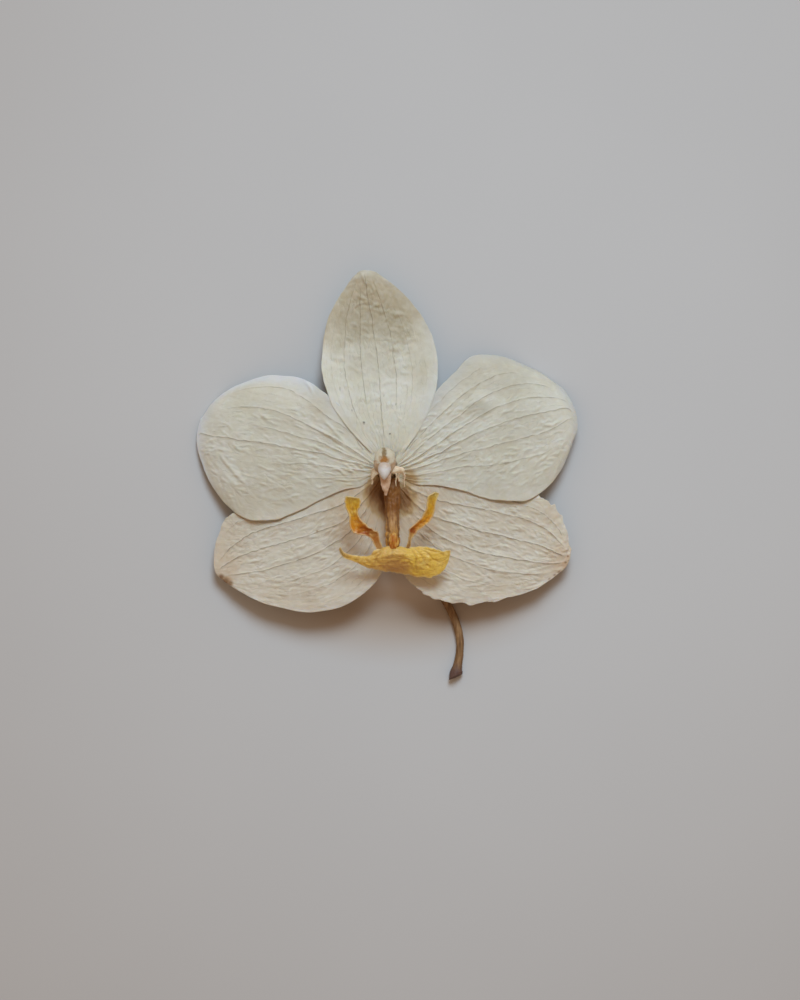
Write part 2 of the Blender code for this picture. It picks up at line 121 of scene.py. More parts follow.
LATERAL_SEPAL_LEFT = [
    ((-1.9, -0.1, SEPAL_BASE), (-1.1, -0.9, SEPAL_BASE), (-0.1, -1.7, SEPAL_BASE)),
    ((-4.9, 0.1, 6.3), (-2.7, -3.7, 6.4), (0.3, -5.1, 6.4)),
    ((-8.3, -0.3, 6.1), (-4.7, -7.5, 6.3), (0.6, -9.1, 6.4)),
    ((-12.7, -1.3, 5.9), (-7.3, -11.1, 6.2), (0.6, -14.1, 6.6)),
    ((-17.7, -2.7, 5.4), (-10.7, -13.9, 6.0), (-0.5, -18.7, 6.8)),
    ((-22.9, -4.3, 4.6), (-15.3, -16.1, 5.7), (-3.3, -22.7, 6.9)),
    ((-27.3, -5.7, 3.7), (-20.3, -17.5, 5.2), (-8.7, -26.3, 6.6)),
    ((-30.9, -7.7, 2.8), (-25.3, -18.5, 4.6), (-16.3, -27.5, 6.0)),
    ((-33.3, -10.7, 2.3), (-29.7, -19.1, 3.9), (-24.5, -25.8, 5.0)),
    ((-34.5, -15.1, 2.2), (-32.9, -19.7, 3.2), (-29.7, -23.2, 3.9)),
    ((-34.6, -18.3, 2.4), (-34.1, -20.0, 2.8), (-32.7, -21.3, 3.0)),
]
LATERAL_SEPAL_RIGHT = [
    ((2.1, -0.3, SEPAL_BASE), (1.3, -1.1, SEPAL_BASE), (0.7, -1.9, SEPAL_BASE)),
    ((5.1, 0.1, 6.3), (2.9, -3.9, 6.4), (1.3, -5.3, 6.4)),
    ((8.7, -0.1, 6.1), (5.3, -7.5, 6.3), (1.6, -9.5, 6.4)),
    ((13.1, -0.7, 5.9), (8.7, -10.5, 6.2), (1.9, -14.3, 6.6)),
    ((17.9, -1.5, 5.7), (12.7, -12.7, 6.0), (3.1, -19.5, 6.8)),
    ((22.7, -2.3, 5.3), (17.5, -14.5, 5.8), (6.5, -23.0, 6.9)),
    ((27.5, -3.3, 4.7), (22.3, -15.7, 5.4), (10.9, -25.2, 6.7)),
    ((31.7, -4.9, 4.0), (26.7, -16.5, 4.9), (17.1, -25.9, 6.2)),
    ((34.5, -7.5, 3.4), (30.9, -17.1, 4.3), (24.3, -24.7, 5.4)),
    ((36.1, -11.1, 3.0), (33.9, -17.4, 3.7), (30.3, -22.7, 4.4)),
    ((36.9, -15.1, 2.9), (36.6, -17.3, 3.1), (35.5, -19.1, 3.3)),
]

# Ribs of the lip's parts
CLAW = [
    ((-0.3, -0.85, 8.8), (0.9, -0.85, 9.4), (2.4, -0.85, 8.8)),
    ((-0.2, -4.4, 9.1), (1.1, -4.4, 9.9), (2.5, -4.4, 9.1)),
    ((0.0, -8.0, 9.6), (1.2, -8.0, 10.5), (2.4, -8.0, 9.6)),
    ((0.05, -12.0, 10.6), (1.3, -12.0, 11.5), (2.35, -12.0, 10.6)),
    ((0.15, -15.8, 11.4), (1.4, -15.8, 12.0), (2.5, -15.8, 11.4)),
]
MIDLOBE = [
    ((-9.1, -14.4, 13.0), (-9.3, -14.7, 12.9), (-9.4, -15.0, 12.8)),
    ((-8.3, -15.5, 12.2), (-8.5, -16.0, 12.1), (-8.5, -16.5, 12.0)),
    ((-6.1, -16.1, 11.7), (-6.3, -16.7, 11.7), (-6.5, -17.2, 11.5)),
    ((-3.3, -16.0, 11.5), (-3.7, -17.3, 11.7), (-3.9, -18.5, 11.0)),
    ((-1.3, -14.7, 11.6), (-1.3, -16.7, 12.0), (-1.3, -19.0, 10.3)),
    ((0.9, -14.3, 11.5), (0.9, -16.5, 12.2), (0.9, -19.5, 9.4)),
    ((3.3, -14.4, 11.5), (3.3, -16.5, 12.2), (3.3, -19.7, 9.3)),
    ((5.9, -14.4, 11.6), (5.7, -16.9, 12.1), (5.7, -20.2, 10.2)),
    ((8.7, -14.5, 11.9), (8.7, -17.1, 11.9), (8.5, -20.5, 10.7)),
    ((10.9, -15.2, 12.0), (11.1, -17.1, 11.6), (10.9, -19.5, 10.8)),
    ((12.7, -15.0, 12.1), (12.6, -16.1, 11.7), (12.2, -17.7, 11.2)),
]
SIDE_LOBE_LEFT = [
    ((-1.5, -16.0, 11.5), (-0.9, -15.7, 11.6), (-0.3, -15.4, 11.5)),
    ((-2.5, -13.7, 12.0), (-1.9, -13.4, 11.9), (-1.3, -13.1, 12.0)),
    ((-3.2, -12.5, 12.5), (-2.5, -12.1, 12.2), (-1.6, -11.5, 12.6)),
    ((-4.7, -12.0, 13.0), (-3.7, -11.3, 12.5), (-2.5, -10.9, 13.2)),
    ((-6.4, -11.5, 13.4), (-5.4, -10.4, 12.9), (-4.1, -9.9, 13.7)),
    ((-7.2, -10.1, 13.9), (-6.2, -9.2, 13.4), (-5.1, -8.7, 14.1)),
    ((-7.3, -7.9, 14.4), (-6.5, -7.8, 13.9), (-5.7, -7.5, 14.5)),
    ((-8.1, -6.1, 14.8), (-6.7, -6.3, 14.4), (-5.2, -6.3, 14.9)),
    ((-8.1, -4.9, 15.1), (-6.7, -5.1, 14.8), (-5.1, -5.1, 15.2)),
    ((-8.0, -4.4, 15.2), (-6.7, -4.5, 15.1), (-5.3, -4.7, 15.2)),
]
SIDE_LOBE_RIGHT = [
    ((3.5, -15.6, 11.5), (4.0, -15.7, 11.6), (4.6, -15.7, 11.5)),
    ((4.2, -13.3, 12.0), (4.6, -13.3, 11.9), (5.0, -13.3, 12.0)),
    ((4.4, -11.9, 12.6), (4.9, -12.1, 12.2), (5.5, -12.3, 12.5)),
    ((4.5, -10.8, 13.2), (5.3, -11.0, 12.7), (6.2, -11.3, 13.0)),
    ((5.7, -10.0, 13.6), (6.5, -10.2, 13.1), (7.4, -10.4, 13.4)),
    ((6.9, -8.8, 14.1), (7.7, -9.0, 13.6), (8.5, -9.3, 13.9)),
    ((7.7, -7.3, 14.5), (8.6, -7.4, 14.0), (9.4, -7.6, 14.3)),
    ((8.1, -5.7, 14.8), (8.9, -5.7, 14.4), (9.7, -5.9, 14.7)),
    ((8.3, -4.5, 15.1), (9.1, -4.6, 14.8), (10.1, -4.7, 15.0)),
    ((9.4, -3.6, 15.3), (9.8, -3.6, 15.2), (10.3, -3.8, 15.3)),
]
BEAK = [
    ((-1.4, 0.2, 12.5), (-0.3, 0.2, 12.8), (0.9, 0.2, 12.5)),
    ((-1.2, -1.0, 12.5), (-0.2, -1.0, 12.9), (0.8, -1.0, 12.5)),
    ((-0.8, -2.6, 12.3), (-0.2, -2.6, 12.5), (0.5, -2.6, 12.3)),
    ((-0.2, -4.1, 11.85), (-0.1, -4.2, 11.9), (0.0, -4.1, 11.85)),
]
WING_LEFT = [
    ((-1.2, 1.9, 11.7), (-1.2, 1.2, 12.0), (-1.3, 0.3, 12.1)),
    ((-2.4, 1.5, 11.3), (-2.3, 0.7, 11.7), (-2.2, -0.3, 11.8)),
    ((-3.1, 0.7, 10.7), (-3.0, -0.1, 11.1), (-2.8, -0.9, 11.3)),
    ((-3.2, -0.3, 10.2), (-3.1, -0.7, 10.5), (-3.0, -1.2, 10.7)),
]
WING_RIGHT = [
    ((0.6, 1.9, 12.0), (0.6, 1.1, 12.2), (0.6, 0.3, 12.1)),
    ((1.9, 1.5, 12.1), (1.9, 0.9, 12.3), (1.9, 0.2, 12.0)),
    ((3.0, 1.3, 11.9), (3.0, 0.8, 12.1), (2.9, 0.3, 11.8)),
    ((3.6, 0.9, 11.6), (3.5, 0.7, 11.7), (3.3, 0.4, 11.5)),
]

# Rings of the column and the anther cap: centre x, y and height, half width, half depth
COLUMN_RINGS = [
    (-0.1, 1.2, COLUMN_FOOT, 2.1, 2.0),
    (-0.1, 1.8, 9.0, 2.1, 2.0),
    (-0.2, 2.3, 10.2, 2.0, 2.2),
    (-0.3, 2.6, 11.4, 2.2, 2.7),
    (-0.3, 2.5, 12.3, 2.15, 2.6),
    (-0.3, 2.3, 12.9, 1.8, 2.2),
    (-0.4, 2.0, 13.2, 1.2, 1.6),
]
ANTHER_SEAT = 13.5
ANTHER_RINGS = [
    (-0.4, 0.65, ANTHER_SEAT, 1.05, 1.5),
    (-0.4, 0.65, ANTHER_SEAT + 0.35, 1.2, 1.7),
    (-0.4, 0.65, ANTHER_SEAT + 0.8, 1.05, 1.45),
    (-0.4, 0.7, ANTHER_SEAT + 1.15, 0.65, 0.95),
    (-0.4, 0.7, ANTHER_SEAT + 1.25, 0.3, 0.4),
]
CALLUS_CENTRE = (1.45, -13.2, 12.05)
CALLUS_SIZE = (1.0, 1.7, 0.7)
STRANDS = [
    [(1.9, 0.2, 12.0), (2.05, -0.6, 11.5), (1.85, -1.4, 11.1), (1.95, -2.4, 10.8)],
    [(3.3, 0.5, 11.7), (3.65, -0.4, 11.2), (3.5, -1.2, 10.8), (3.65, -2.5, 10.4)],
    [(2.6, 0.2, 11.8), (2.4, -0.6, 11.3), (2.55, -1.4, 11.0)],
    [(-2.9, -0.8, 10.9), (-2.75, -1.4, 10.5), (-2.9, -2.0, 10.3)],
]
STRAND_RADII = [0.20, 0.17, 0.13, 0.06]
PEDICEL_PATH = [
    (0.1, 0.7, 5.9),
    (0.1, 0.7, 5.3),
    (0.15, 0.4, 4.3),
    (0.6, -1.4, 3.3),
    (1.5, -4.4, 2.7),
    (3.3, -9.3, 2.1),
    (6.4, -16.1, 1.6),
    (9.9, -22.3, 1.2),
    (12.4, -26.3, 0.9),
    (14.0, -29.9, 0.75),
    (14.75, -33.1, 0.72),
    (14.7, -35.9, 0.74),
    (14.3, -38.3, 0.8),
    (14.0, -39.7, 0.9),
    (13.9, -40.7, 1.1),
]
PEDICEL_RADII = [
    2.1, 2.0, 1.5, 1.2, 1.15, 1.05, 0.95, 0.85, 0.8, 0.76,
    0.76, 0.76, 0.9, 1.25, 1.3,
]

# The main veins of each blade: how far across, -1 to 1, at its base, middle and tip, how strong,
# and from where to where along the blade, 0 to 1, it shows
TEPAL_VEINS = {
    "dorsal_sepal": [
        (-0.82, -0.82, -0.72, 0.3, 0.3, 0.7), (-0.60, -0.57, -0.50, 0.8, 0.28, 0.85),
        (-0.30, -0.27, -0.22, 0.9, 0.32, 0.85), (0.0, 0.01, -0.06, 1.1, 0.2, 1.0),
        (0.34, 0.30, 0.28, 0.8, 0.35, 0.9), (0.60, 0.57, 0.50, 0.4, 0.35, 0.75),
        (0.82, 0.80, 0.70, 0.25, 0.4, 0.6),
    ],
    "petal_left": [
        (-0.88, -0.88, -0.80, 0.3, 0.0, 0.4), (-0.50, -0.56, -0.50, 0.6, 0.0, 0.42),
        (-0.15, -0.27, -0.28, 0.7, 0.0, 0.52), (0.10, 0.0, 0.0, 1.2, 0.0, 1.0),
        (0.26, 0.23, 0.20, 0.7, 0.0, 0.62), (0.40, 0.48, 0.38, 0.9, 0.0, 0.76),
        (0.60, 0.80, 0.72, 0.8, 0.0, 0.78),
    ],
    "petal_right": [
        (-0.85, -0.82, -0.70, 0.3, 0.0, 0.5), (-0.52, -0.55, -0.40, 0.7, 0.0, 0.78),
        (-0.20, -0.28, -0.16, 0.9, 0.0, 0.95), (0.0, 0.01, 0.03, 1.4, 0.0, 1.0),
        (0.18, 0.26, 0.18, 1.1, 0.0, 0.95), (0.36, 0.48, 0.40, 0.9, 0.0, 0.9),
        (0.60, 0.70, 0.52, 0.8, 0.0, 0.8), (0.84, 0.86, 0.72, 0.6, 0.3, 0.7),
    ],
    "lateral_sepal_left": [
        (-0.85, -0.85, -0.78, 0.5, 0.0, 0.8), (-0.42, -0.60, -0.42, 1.1, 0.0, 0.9),
        (-0.10, -0.31, -0.20, 1.2, 0.0, 0.95), (0.06, 0.01, 0.16, 1.1, 0.15, 0.9),
        (0.30, 0.30, 0.44, 0.7, 0.2, 0.7), (0.60, 0.56, 0.68, 0.6, 0.2, 0.7),
        (0.84, 0.84, 0.84, 0.3, 0.3, 0.7),
    ],
    "lateral_sepal_right": [
        (-0.85, -0.83, -0.70, 0.7, 0.0, 0.95), (-0.52, -0.62, -0.50, 1.1, 0.0, 0.95),
        (-0.20, -0.28, -0.23, 1.5, 0.0, 1.0), (0.02, 0.05, 0.07, 1.3, 0.25, 1.0),
        (0.25, 0.27, 0.36, 0.9, 0.3, 0.9), (0.55, 0.55, 0.60, 0.5, 0.3, 0.8),
        (0.84, 0.84, 0.84, 0.3, 0.3, 0.7),
    ],
}
LOBE_VEINS = [(0.66 * k, 0.66 * k, 0.6 * k, 0.6, 0.0, 1.0) for k in (-1, -0.33, 0.33, 1)]
CLAW_VEINS = [(0.7 * k, 0.7 * k, 0.7 * k, 1.0, 0.0, 1.0) for k in (-1, 0, 1)]

# Creases: a path in x and y, how high its ridge is (a groove if below zero) and how wide
CREASES = {
    "petal_left": [
        ([(-33.3, 3.9), (-32.5, 2.8), (-30.2, 0.2), (-27.9, -2.3)], 0.26, 0.35),
        ([(-33.9, 1.7), (-31.3, -1.1), (-28.7, -3.3)], 0.14, 0.45),
        ([(-37.2, 4.9), (-35.1, 4.7), (-33.9, 5.2), (-31.5, 4.7)], 0.16, 0.3),
        ([(-16.6, 18.9), (-15.2, 17.4), (-14.6, 15.9)], 0.22, 0.25),
        ([(-15.3, 9.9), (-11.3, 7.7), (-8.3, 5.5)], 0.26, 0.30),
        ([(-12.5, 10.9), (-9.9, 8.1), (-7.3, 5.1)], 0.20, 0.30),
        ([(-18.9, 6.9), (-13.5, 5.1), (-8.7, 3.1)], 0.16, 0.35),
        ([(-26.1, -3.9), (-22.3, -5.1), (-17.3, -4.7)], 0.12, 0.4),
    ],
    "petal_right": [
        ([(9.1, 9.9), (7.3, 7.5), (5.7, 5.1)], 0.15, 0.35),
        ([(13.9, 7.1), (10.1, 4.7), (6.1, 2.3)], 0.12, 0.35),
    ],
    "lateral_sepal_left": [
        ([(-22.7, -17.9), (-16.9, -16.1), (-12.3, -13.1)], 0.22, 0.5),
        ([(-27.3, -9.7), (-20.7, -9.9), (-14.3, -8.3)], 0.10, 0.5),
        ([(-30.1, -18.1), (-24.9, -16.9), (-20.3, -15.3)], 0.10, 0.4),
    ],
    "lateral_sepal_right": [
        ([(25.5, -14.7), (20.3, -13.1), (15.3, -11.9)], 0.10, 0.4),
        ([(27.9, -20.9), (22.5, -19.3), (15.9, -16.3)], 0.12, 0.5),
        ([(9.5, -20.7), (8.3, -16.9), (7.9, -12.1)], 0.12, 0.6),
    ],
    "dorsal_sepal": [
        ([(-5.1, 40.3), (-4.1, 38.1), (-4.7, 36.7)], 0.30, 0.3),
        ([(-3.1, 38.1), (-2.5, 36.9), (-3.3, 35.9)], 0.28, 0.3),
        ([(-5.9, 35.9), (-4.1, 35.1)], 0.28, 0.3),
        ([(-5.3, 32.7), (-2.9, 33.1), (-0.1, 32.3)], 0.16, 0.4),
        ([(-4.3, 29.9), (-2.3, 30.3)], 0.14, 0.3),
        ([(-7.3, 23.7), (-4.3, 24.1), (-1.7, 23.5)], 0.12, 0.35),
        ([(-1.9, 14.9), (-4.1, 15.3)], 0.10, 0.3),
    ],
    "midlobe": [
        ([(5.2, -14.4), (6.9, -16.0), (7.6, -17.4), (8.9, -18.8)], -0.16, 0.17),
        ([(5.8, -14.4), (8.2, -15.6), (9.3, -16.9), (11.0, -17.7)], -0.16, 0.17),
        ([(6.3, -14.4), (8.6, -15.1), (11.2, -15.7)], -0.12, 0.15),
        ([(4.9, -14.6), (5.9, -16.6), (5.8, -18.2), (6.3, -19.8)], -0.22, 0.22),
        ([(-0.4, -14.6), (-2.4, -16.0), (-5.2, -16.3)], -0.14, 0.2),
        ([(-0.6, -15.0), (-1.9, -16.5), (-2.4, -17.7)], -0.16, 0.22),
        ([(1.3, -14.2), (1.2, -16.2)], -0.12, 0.25),
        ([(-0.9, -16.4), (1.2, -15.7), (3.6, -15.9), (5.2, -16.9)], 0.35, 0.5),
    ],
}

# Short puckers: how many, the middle and reach of their oval, their length, lean and height
TEPAL_PUCKERS = {
    "dorsal_sepal": (70, (-2.3, 24.0), (7.5, 11.5), 2.4, 0.0, 0.24),
    "petal_left": (150, (-20.0, 4.0), (16.0, 10.0), 1.7, -0.3, 0.15),
    "petal_right": (150, (20.0, 7.0), (15.0, 10.5), 1.7, 0.5, 0.15),
    "lateral_sepal_left": (110, (-17.0, -14.0), (14.0, 9.5), 1.8, 0.5, 0.15),
    "lateral_sepal_right": (150, (19.5, -13.5), (14.0, 9.0), 1.6, -0.5, 0.18),
}
NO_PUCKERS = (0, (0.0, 0.0), (1.0, 1.0), 1.0, 0.0, 0.0)

# The drying wave of each tepal, as in the solids: how deep, and how many beats
TEPAL_WAVES = {
    "dorsal_sepal": (0.25, 2.2),
    "petal_left": (0.25, 2.6),
    "petal_right": (0.25, 2.4),
    "lateral_sepal_left": (0.25, 2.3),
    "lateral_sepal_right": (0.25, 2.1),
}
STILL = (0.0, 1.0)

# How far each thin tissue lies above the middle of its thicker solid, at its one edge and its other
TEPAL_LIFTS = {
    "dorsal_sepal": (-0.25, -0.25),
    "petal_left": (-0.45, 0.25),
    "petal_right": (-0.45, 0.25),
    "lateral_sepal_left": (0.75, 0.1),
    "lateral_sepal_right": (0.55, 0.1),
}

# Dark specks: x, y and radius
SPECKS = [
    (-4.5, 10.3, 0.21), (1.9, 14.1, 0.11), (-6.9, 12.9, 0.12), (0.7, 8.1, 0.16), (-13.8, -11.3, 0.22),
    (-9.3, 17.1, 0.18), (-0.5, 15.9, 0.14), (-32.3, -21.3, 0.7), (-31.3, -21.8, 0.5), (-33.1, -20.5, 0.5),
    (33.7, -20.2, 0.22), (34.6, -19.6, 0.26), (35.9, -17.6, 0.24), (36.4, -16.4, 0.2), (32.6, -20.9, 0.16),
]

# The brown stain round the foot of the column, in parts: middle, reach and strength
STAINS = [
    ((0.5, -4.4), (4.3, 6.2), 1.0),
    ((-1.9, -3.8), (3.6, 5.4), 0.68),
    ((4.5, -1.0), (2.9, 2.9), 0.38),
    ((3.3, -4.9), (3.9, 4.3), 0.68),
]

# Where a tepal has gone tan, and where it is darkened with painted shade: middle, reach and strength
TAN_AND_SHADE_PATCHES = {
    "dorsal_sepal": [
        ((-2.6, 34.0), (21.0, 13.5), 0.85),
        # Painted shade: a fold's shadow running diagonally across the upper part, in these three
        ((-0.6, 33.2), (3.6, 3.2), 0.92),
        ((1.7, 31.0), (3.8, 3.4), 1.0),
        ((3.5, 28.8), (3.6, 3.6), 0.92),
        ((-2.6, 24.5), (9.0, 8.5), 0.45),
        ((-2.8, 36.3), (2.6, 2.0), 1.0),
        ((7.0, 24.0), (5.5, 10.0), 0.45),
    ],
    "petal_left": [
        ((-13.3, 14.3), (3.2, 5.5), 0.5),
        ((-22.0, 2.0), (9.0, 6.0), 0.3),
        # Painted shade on the lower part, in these two
        ((-24.0, -3.5), (10.0, 6.0), 0.6),
        ((-9.0, -2.0), (6.0, 3.0), 0.5),
    ],
    "petal_right": [
        ((18.5, 13.0), (3.8, 2.6), 0.8),
        ((22.0, 20.0), (13.0, 5.5), 0.6),
        ((27.5, 9.5), (8.0, 5.0), 0.35),
        # Painted shade on the lower part
        ((24.0, -2.0), (9.0, 4.0), 0.25),
    ],
    "lateral_sepal_left": [
        ((-33.0, -18.3), (4.5, 5.5), 0.4),
        ((-32.4, -21.2), (2.0, 1.4), 1.0),
        # Painted warm shade at the base, under the lip
        ((-4.0, -8.0), (10.0, 10.0), 0.7),
    ],
    "lateral_sepal_right": [
        ((36.0, -17.0), (5.0, 5.5), 0.5),
        ((36.3, -17.9), (2.0, 1.9), 0.95),
        # Painted warm shade at the base, under the lip
        ((4.5, -8.0), (9.5, 9.5), 0.7),
        # Painted shade under the midlobe's right end
        ((12.0, -15.0), (5.0, 6.0), 0.3),
    ],
}

# How each blade is raised: how ragged its outline is, how it shrivels towards its tip, its vein
# ridges, pleats, puckers and waves, and how far its rim is calmed. Heights and widths are in mm.
PETAL_RELIEF = {
    "rags": 16.0, "ragged": 0.012, "shrivel": 0.0, "ridge": 0.08, "ridge_width": 0.20, "sag": 0.05,
    "base_rise": 1.0, "pleat_run": 9.0, "pleats": 0.08, "pucker": 0.085, "pucker_size": (1.5, 1.7),
    "calm": 0.4, "faint": 0.45, "grit": 0.05, "crumple": 0.15, "rim_wave": 0.10,
}
DORSAL_RELIEF = {
    **PETAL_RELIEF, "ragged": 0.02, "shrivel": 0.8, "ridge": 0.05, "base_rise": 0.6, "pleats": 0.08,
    "pucker": 0.08, "pucker_size": (2.2, 1.0), "calm": 0.2, "faint": 0.0,
}
LATERAL_RELIEF = {
    **PETAL_RELIEF, "rags": 15.0, "ragged": 0.022, "shrivel": 1.0, "ridge": 0.10, "base_rise": 0.0,
    "pleats": 0.04, "pucker": 0.10, "pucker_size": (1.2, 2.0), "calm": 0.5, "faint": 0.0, "grit": 0.06,
    "crumple": 0.18, "rim_wave": 0.15,
}
CRUMPLED_RELIEF = {
    **LATERAL_RELIEF, "rags": 30.0, "ragged": 0.045, "shrivel": 1.6, "pucker": 0.12, "calm": 0.7,
    "grit": 0.07, "crumple": 0.22, "rim_wave": 0.28,
}
LOBE_RELIEF = {
    "puckers": NO_PUCKERS,
    "rags": 26.0, "ragged": 0.10, "shrivel": 0.0, "ridge": 0.04, "ridge_width": 0.2, "sag": 0.03,
    "base_rise": 0.5, "pleat_run": 2.0, "pleats": 0.03, "pucker": 0.15, "pucker_size": (1.0, 1.4),
    "calm": 1.0, "faint": 0.0, "grit": 0.08, "crumple": 0.40, "rim_wave": 0.30,
}
CLAW_RELIEF = {
    **LOBE_RELIEF, "rags": 14.0, "ragged": 0.08, "ridge": -0.22, "ridge_width": 0.25, "sag": 0.0,
    "base_rise": 0.0, "pleat_run": 3.0, "pleats": 0.05, "pucker": 0.20, "pucker_size": (0.6, 1.2),
    "grit": 0.12, "crumple": 0.30, "rim_wave": 0.20,
}
BEAK_RELIEF = {**LOBE_RELIEF, "ragged": 0.03, "crumple": 0.15, "rim_wave": 0.1}

# Rows and columns of the grids
TEPAL_CELLS = (150, 180)
LOBE_CELLS = (120, 60)
WING_CELLS = (40, 24)

# Each tepal's colours, and the size of its puckers
WHITE = {
    "pale": (0.70, 0.66, 0.575), "aged": (0.64, 0.60, 0.50), "tan": (0.57, 0.515, 0.41), "tan_rim": 1.0,
    "base": (0.78, 0.655, 0.48), "base_reach": 11.0, "lines": 0.6, "cell": 1.3, "speck": (0.05, 0.04, 0.03),
    "rim": 0.9, "rim_tone": (0.69, 0.70, 0.72),
}
DAPPLED = {
    **WHITE, "pale": (0.685, 0.65, 0.565), "aged": (0.625, 0.585, 0.485), "tan": (0.485, 0.455, 0.37),
    "rim_tone": (0.54, 0.54, 0.52),
}
CREAM = {
    **WHITE, "pale": (0.695, 0.63, 0.535), "aged": (0.63, 0.555, 0.455), "tan": (0.58, 0.43, 0.30),
    "base": (0.68, 0.52, 0.37), "base_reach": 17.0, "lines": 0.72, "speck": (0.28, 0.18, 0.10),
    "cell": 1.2, "rim": 0.4, "rim_tone": (0.67, 0.62, 0.57),
}
KHAKI = {
    **WHITE, "pale": (0.73, 0.69, 0.61), "aged": (0.67, 0.63, 0.525), "tan": (0.42, 0.38, 0.275),
    "base": (0.87, 0.79, 0.62), "tan_rim": 0.9, "cell": 1.0, "rim_tone": (0.66, 0.66, 0.63),
}
TEPALS = {
    "dorsal_sepal": (DORSAL_SEPAL, DORSAL_RELIEF, KHAKI),
    "petal_left": (PETAL_LEFT, PETAL_RELIEF, WHITE),
    "petal_right": (PETAL_RIGHT, PETAL_RELIEF, DAPPLED),
    "lateral_sepal_left": (LATERAL_SEPAL_LEFT, LATERAL_RELIEF, CREAM),
    "lateral_sepal_right": (LATERAL_SEPAL_RIGHT, CRUMPLED_RELIEF, CREAM),
}

# Colours along the lip's lobes, from 0 to 1
MIDLOBE_SHADES = [
    (0.0, (0.56, 0.36, 0.12)), (0.2, (0.71, 0.45, 0.09)), (0.5, (0.70, 0.44, 0.12)),
    (0.7, (0.76, 0.50, 0.08)), (1.0, (0.79, 0.55, 0.12)),
]
SIDE_LOBE_SHADES = [
    (0.0, (0.46, 0.24, 0.07)), (0.16, (0.42, 0.16, 0.03)), (0.30, (0.34, 0.075, 0.010)),
    (0.5, (0.66, 0.28, 0.015)), (0.72, (0.68, 0.39, 0.03)), (1.0, (0.54, 0.40, 0.08)),
]
CLAW_SHADES = [
    (0.0, (0.235, 0.095, 0.02)), (0.45, (0.24, 0.09, 0.015)), (0.60, (0.48, 0.26, 0.095)),
    (0.80, (0.54, 0.27, 0.055)), (1.0, (0.58, 0.26, 0.04)),
]
STAIN_SHADES = [
    (0.0, (0.64, 0.52, 0.35)), (0.3, (0.48, 0.33, 0.17)),
    (0.6, (0.29, 0.15, 0.06)), (0.9, (0.17, 0.07, 0.02)),
]

# Single colours, each laid over others
CHALK = (0.80, 0.80, 0.75)
VEIN_GREY = (0.24, 0.20, 0.14)
LIP_STRAW = (0.80, 0.60, 0.24)
LIP_RUST = (0.45, 0.22, 0.03)
LIP_VEIN = (0.30, 0.13, 0.015)
# Laid on a lip's fold: painted shade on the midlobe's keel, the side lobes' own orange at their bend
LIP_FOLD_TONE_AND_SHADE = (0.56, 0.325, 0.095)
LIP_RIM = (0.78, 0.62, 0.34)
CLAW_PATCH = (0.38, 0.185, 0.055)
CLAW_STREAK = (0.15, 0.055, 0.014)
CLAW_LINE = (0.13, 0.05, 0.015)
AMBER = (0.70, 0.43, 0.10)
DOME_GREY = (0.64, 0.59, 0.465)
# Painted shade, laid over the column's lower part
COLUMN_SHADE = (0.36, 0.31, 0.21)
SCAR_RUST = (0.42, 0.19, 0.045)
SCAR_BROWN = (0.25, 0.17, 0.07)
ANTHER_SEAM = (0.57, 0.46, 0.38)
CUT_PURPLE = (0.10, 0.05, 0.045)
# Painted shadow and painted light for the surface under the flower
SHADED_BROWN = (0.455, 0.375, 0.31)
LIT_THROUGH = (0.80, 0.72, 0.66)


def smooth_values(points, t):
    """Places at the parameters t, 0 to 1, on the smooth curve through the points."""
    points = np.asarray(points, dtype=float)
    last = len(points) - 1
    place = np.clip(t, 0.0, 1.0) * last
    i = np.minimum(place.astype(int), last - 1)
    f = (place - i)[:, None]
    padded = np.vstack([2 * points[0] - points[1], points, 2 * points[-1] - points[-2]])
    before, here, there, after = padded[i], padded[i + 1], padded[i + 2], padded[i + 3]
    return (
        here * (2 * f**3 - 3 * f**2 + 1)
        + (there - before) / 2 * (f**3 - 2 * f**2 + f)
        + there * (3 * f**2 - 2 * f**3)
        + (after - here) / 2 * (f**3 - f**2)
    )


def eased(values, low, high):
    """0 below low, 1 above high, and a smooth step between."""
    share = np.clip((values - low) / (high - low), 0.0, 1.0)
    return share * share * (3 - 2 * share)


def noise_at(a, b, seed, level=0.0):
    """Smooth noise, -1 to 1, at points given by two columns of numbers and one level."""
    shift = seed * 17.3
    return np.array([noise.noise(Vector((x + shift, y, level))) for x, y in zip(a, b)])


def rib_points(ribs, t):
    """The one edge, the midrib and the other edge of a blade at the parameters t."""
    return [smooth_values([rib[k] for rib in ribs], t) for k in range(3)]


def middle_sheet(ribs, t, v, wave):
    """Places on a blade's middle surface, with the drying wave of its solid."""
    near, middle, far = rib_points(ribs, t)
    v_column = v[:, None]
    sheet = middle + (far - near) * v_column / 2 + ((near + far) / 2 - middle) * v_column**2
    depth, beats = wave
    edge = np.abs(v) ** 3 * np.sin(2 * pi * beats * t + 1.7 * v)
    inner = 0.3 * np.cos(pi * beats * t) * np.cos(2.5 * v)
    sheet[:, 2] += depth * np.minimum(1.0, 3 * t) * (edge + inner)
    return sheet


def upward_normals(ribs, t, v, wave):
    """The way straight up from a blade's face at each point, from a small step each way."""
    step = 0.002
    ahead = middle_sheet(ribs, np.minimum(t + step, 1.0), v, wave)
    behind = middle_sheet(ribs, np.maximum(t - step, 0.0), v, wave)
    right = middle_sheet(ribs, t, v + step, wave)
    left = middle_sheet(ribs, t, v - step, wave)
    normal = np.cross(right - left, ahead - behind)
    normal /= np.linalg.norm(normal, axis=1)[:, None]
    normal[normal[:, 2] < 0] *= -1
    return normal


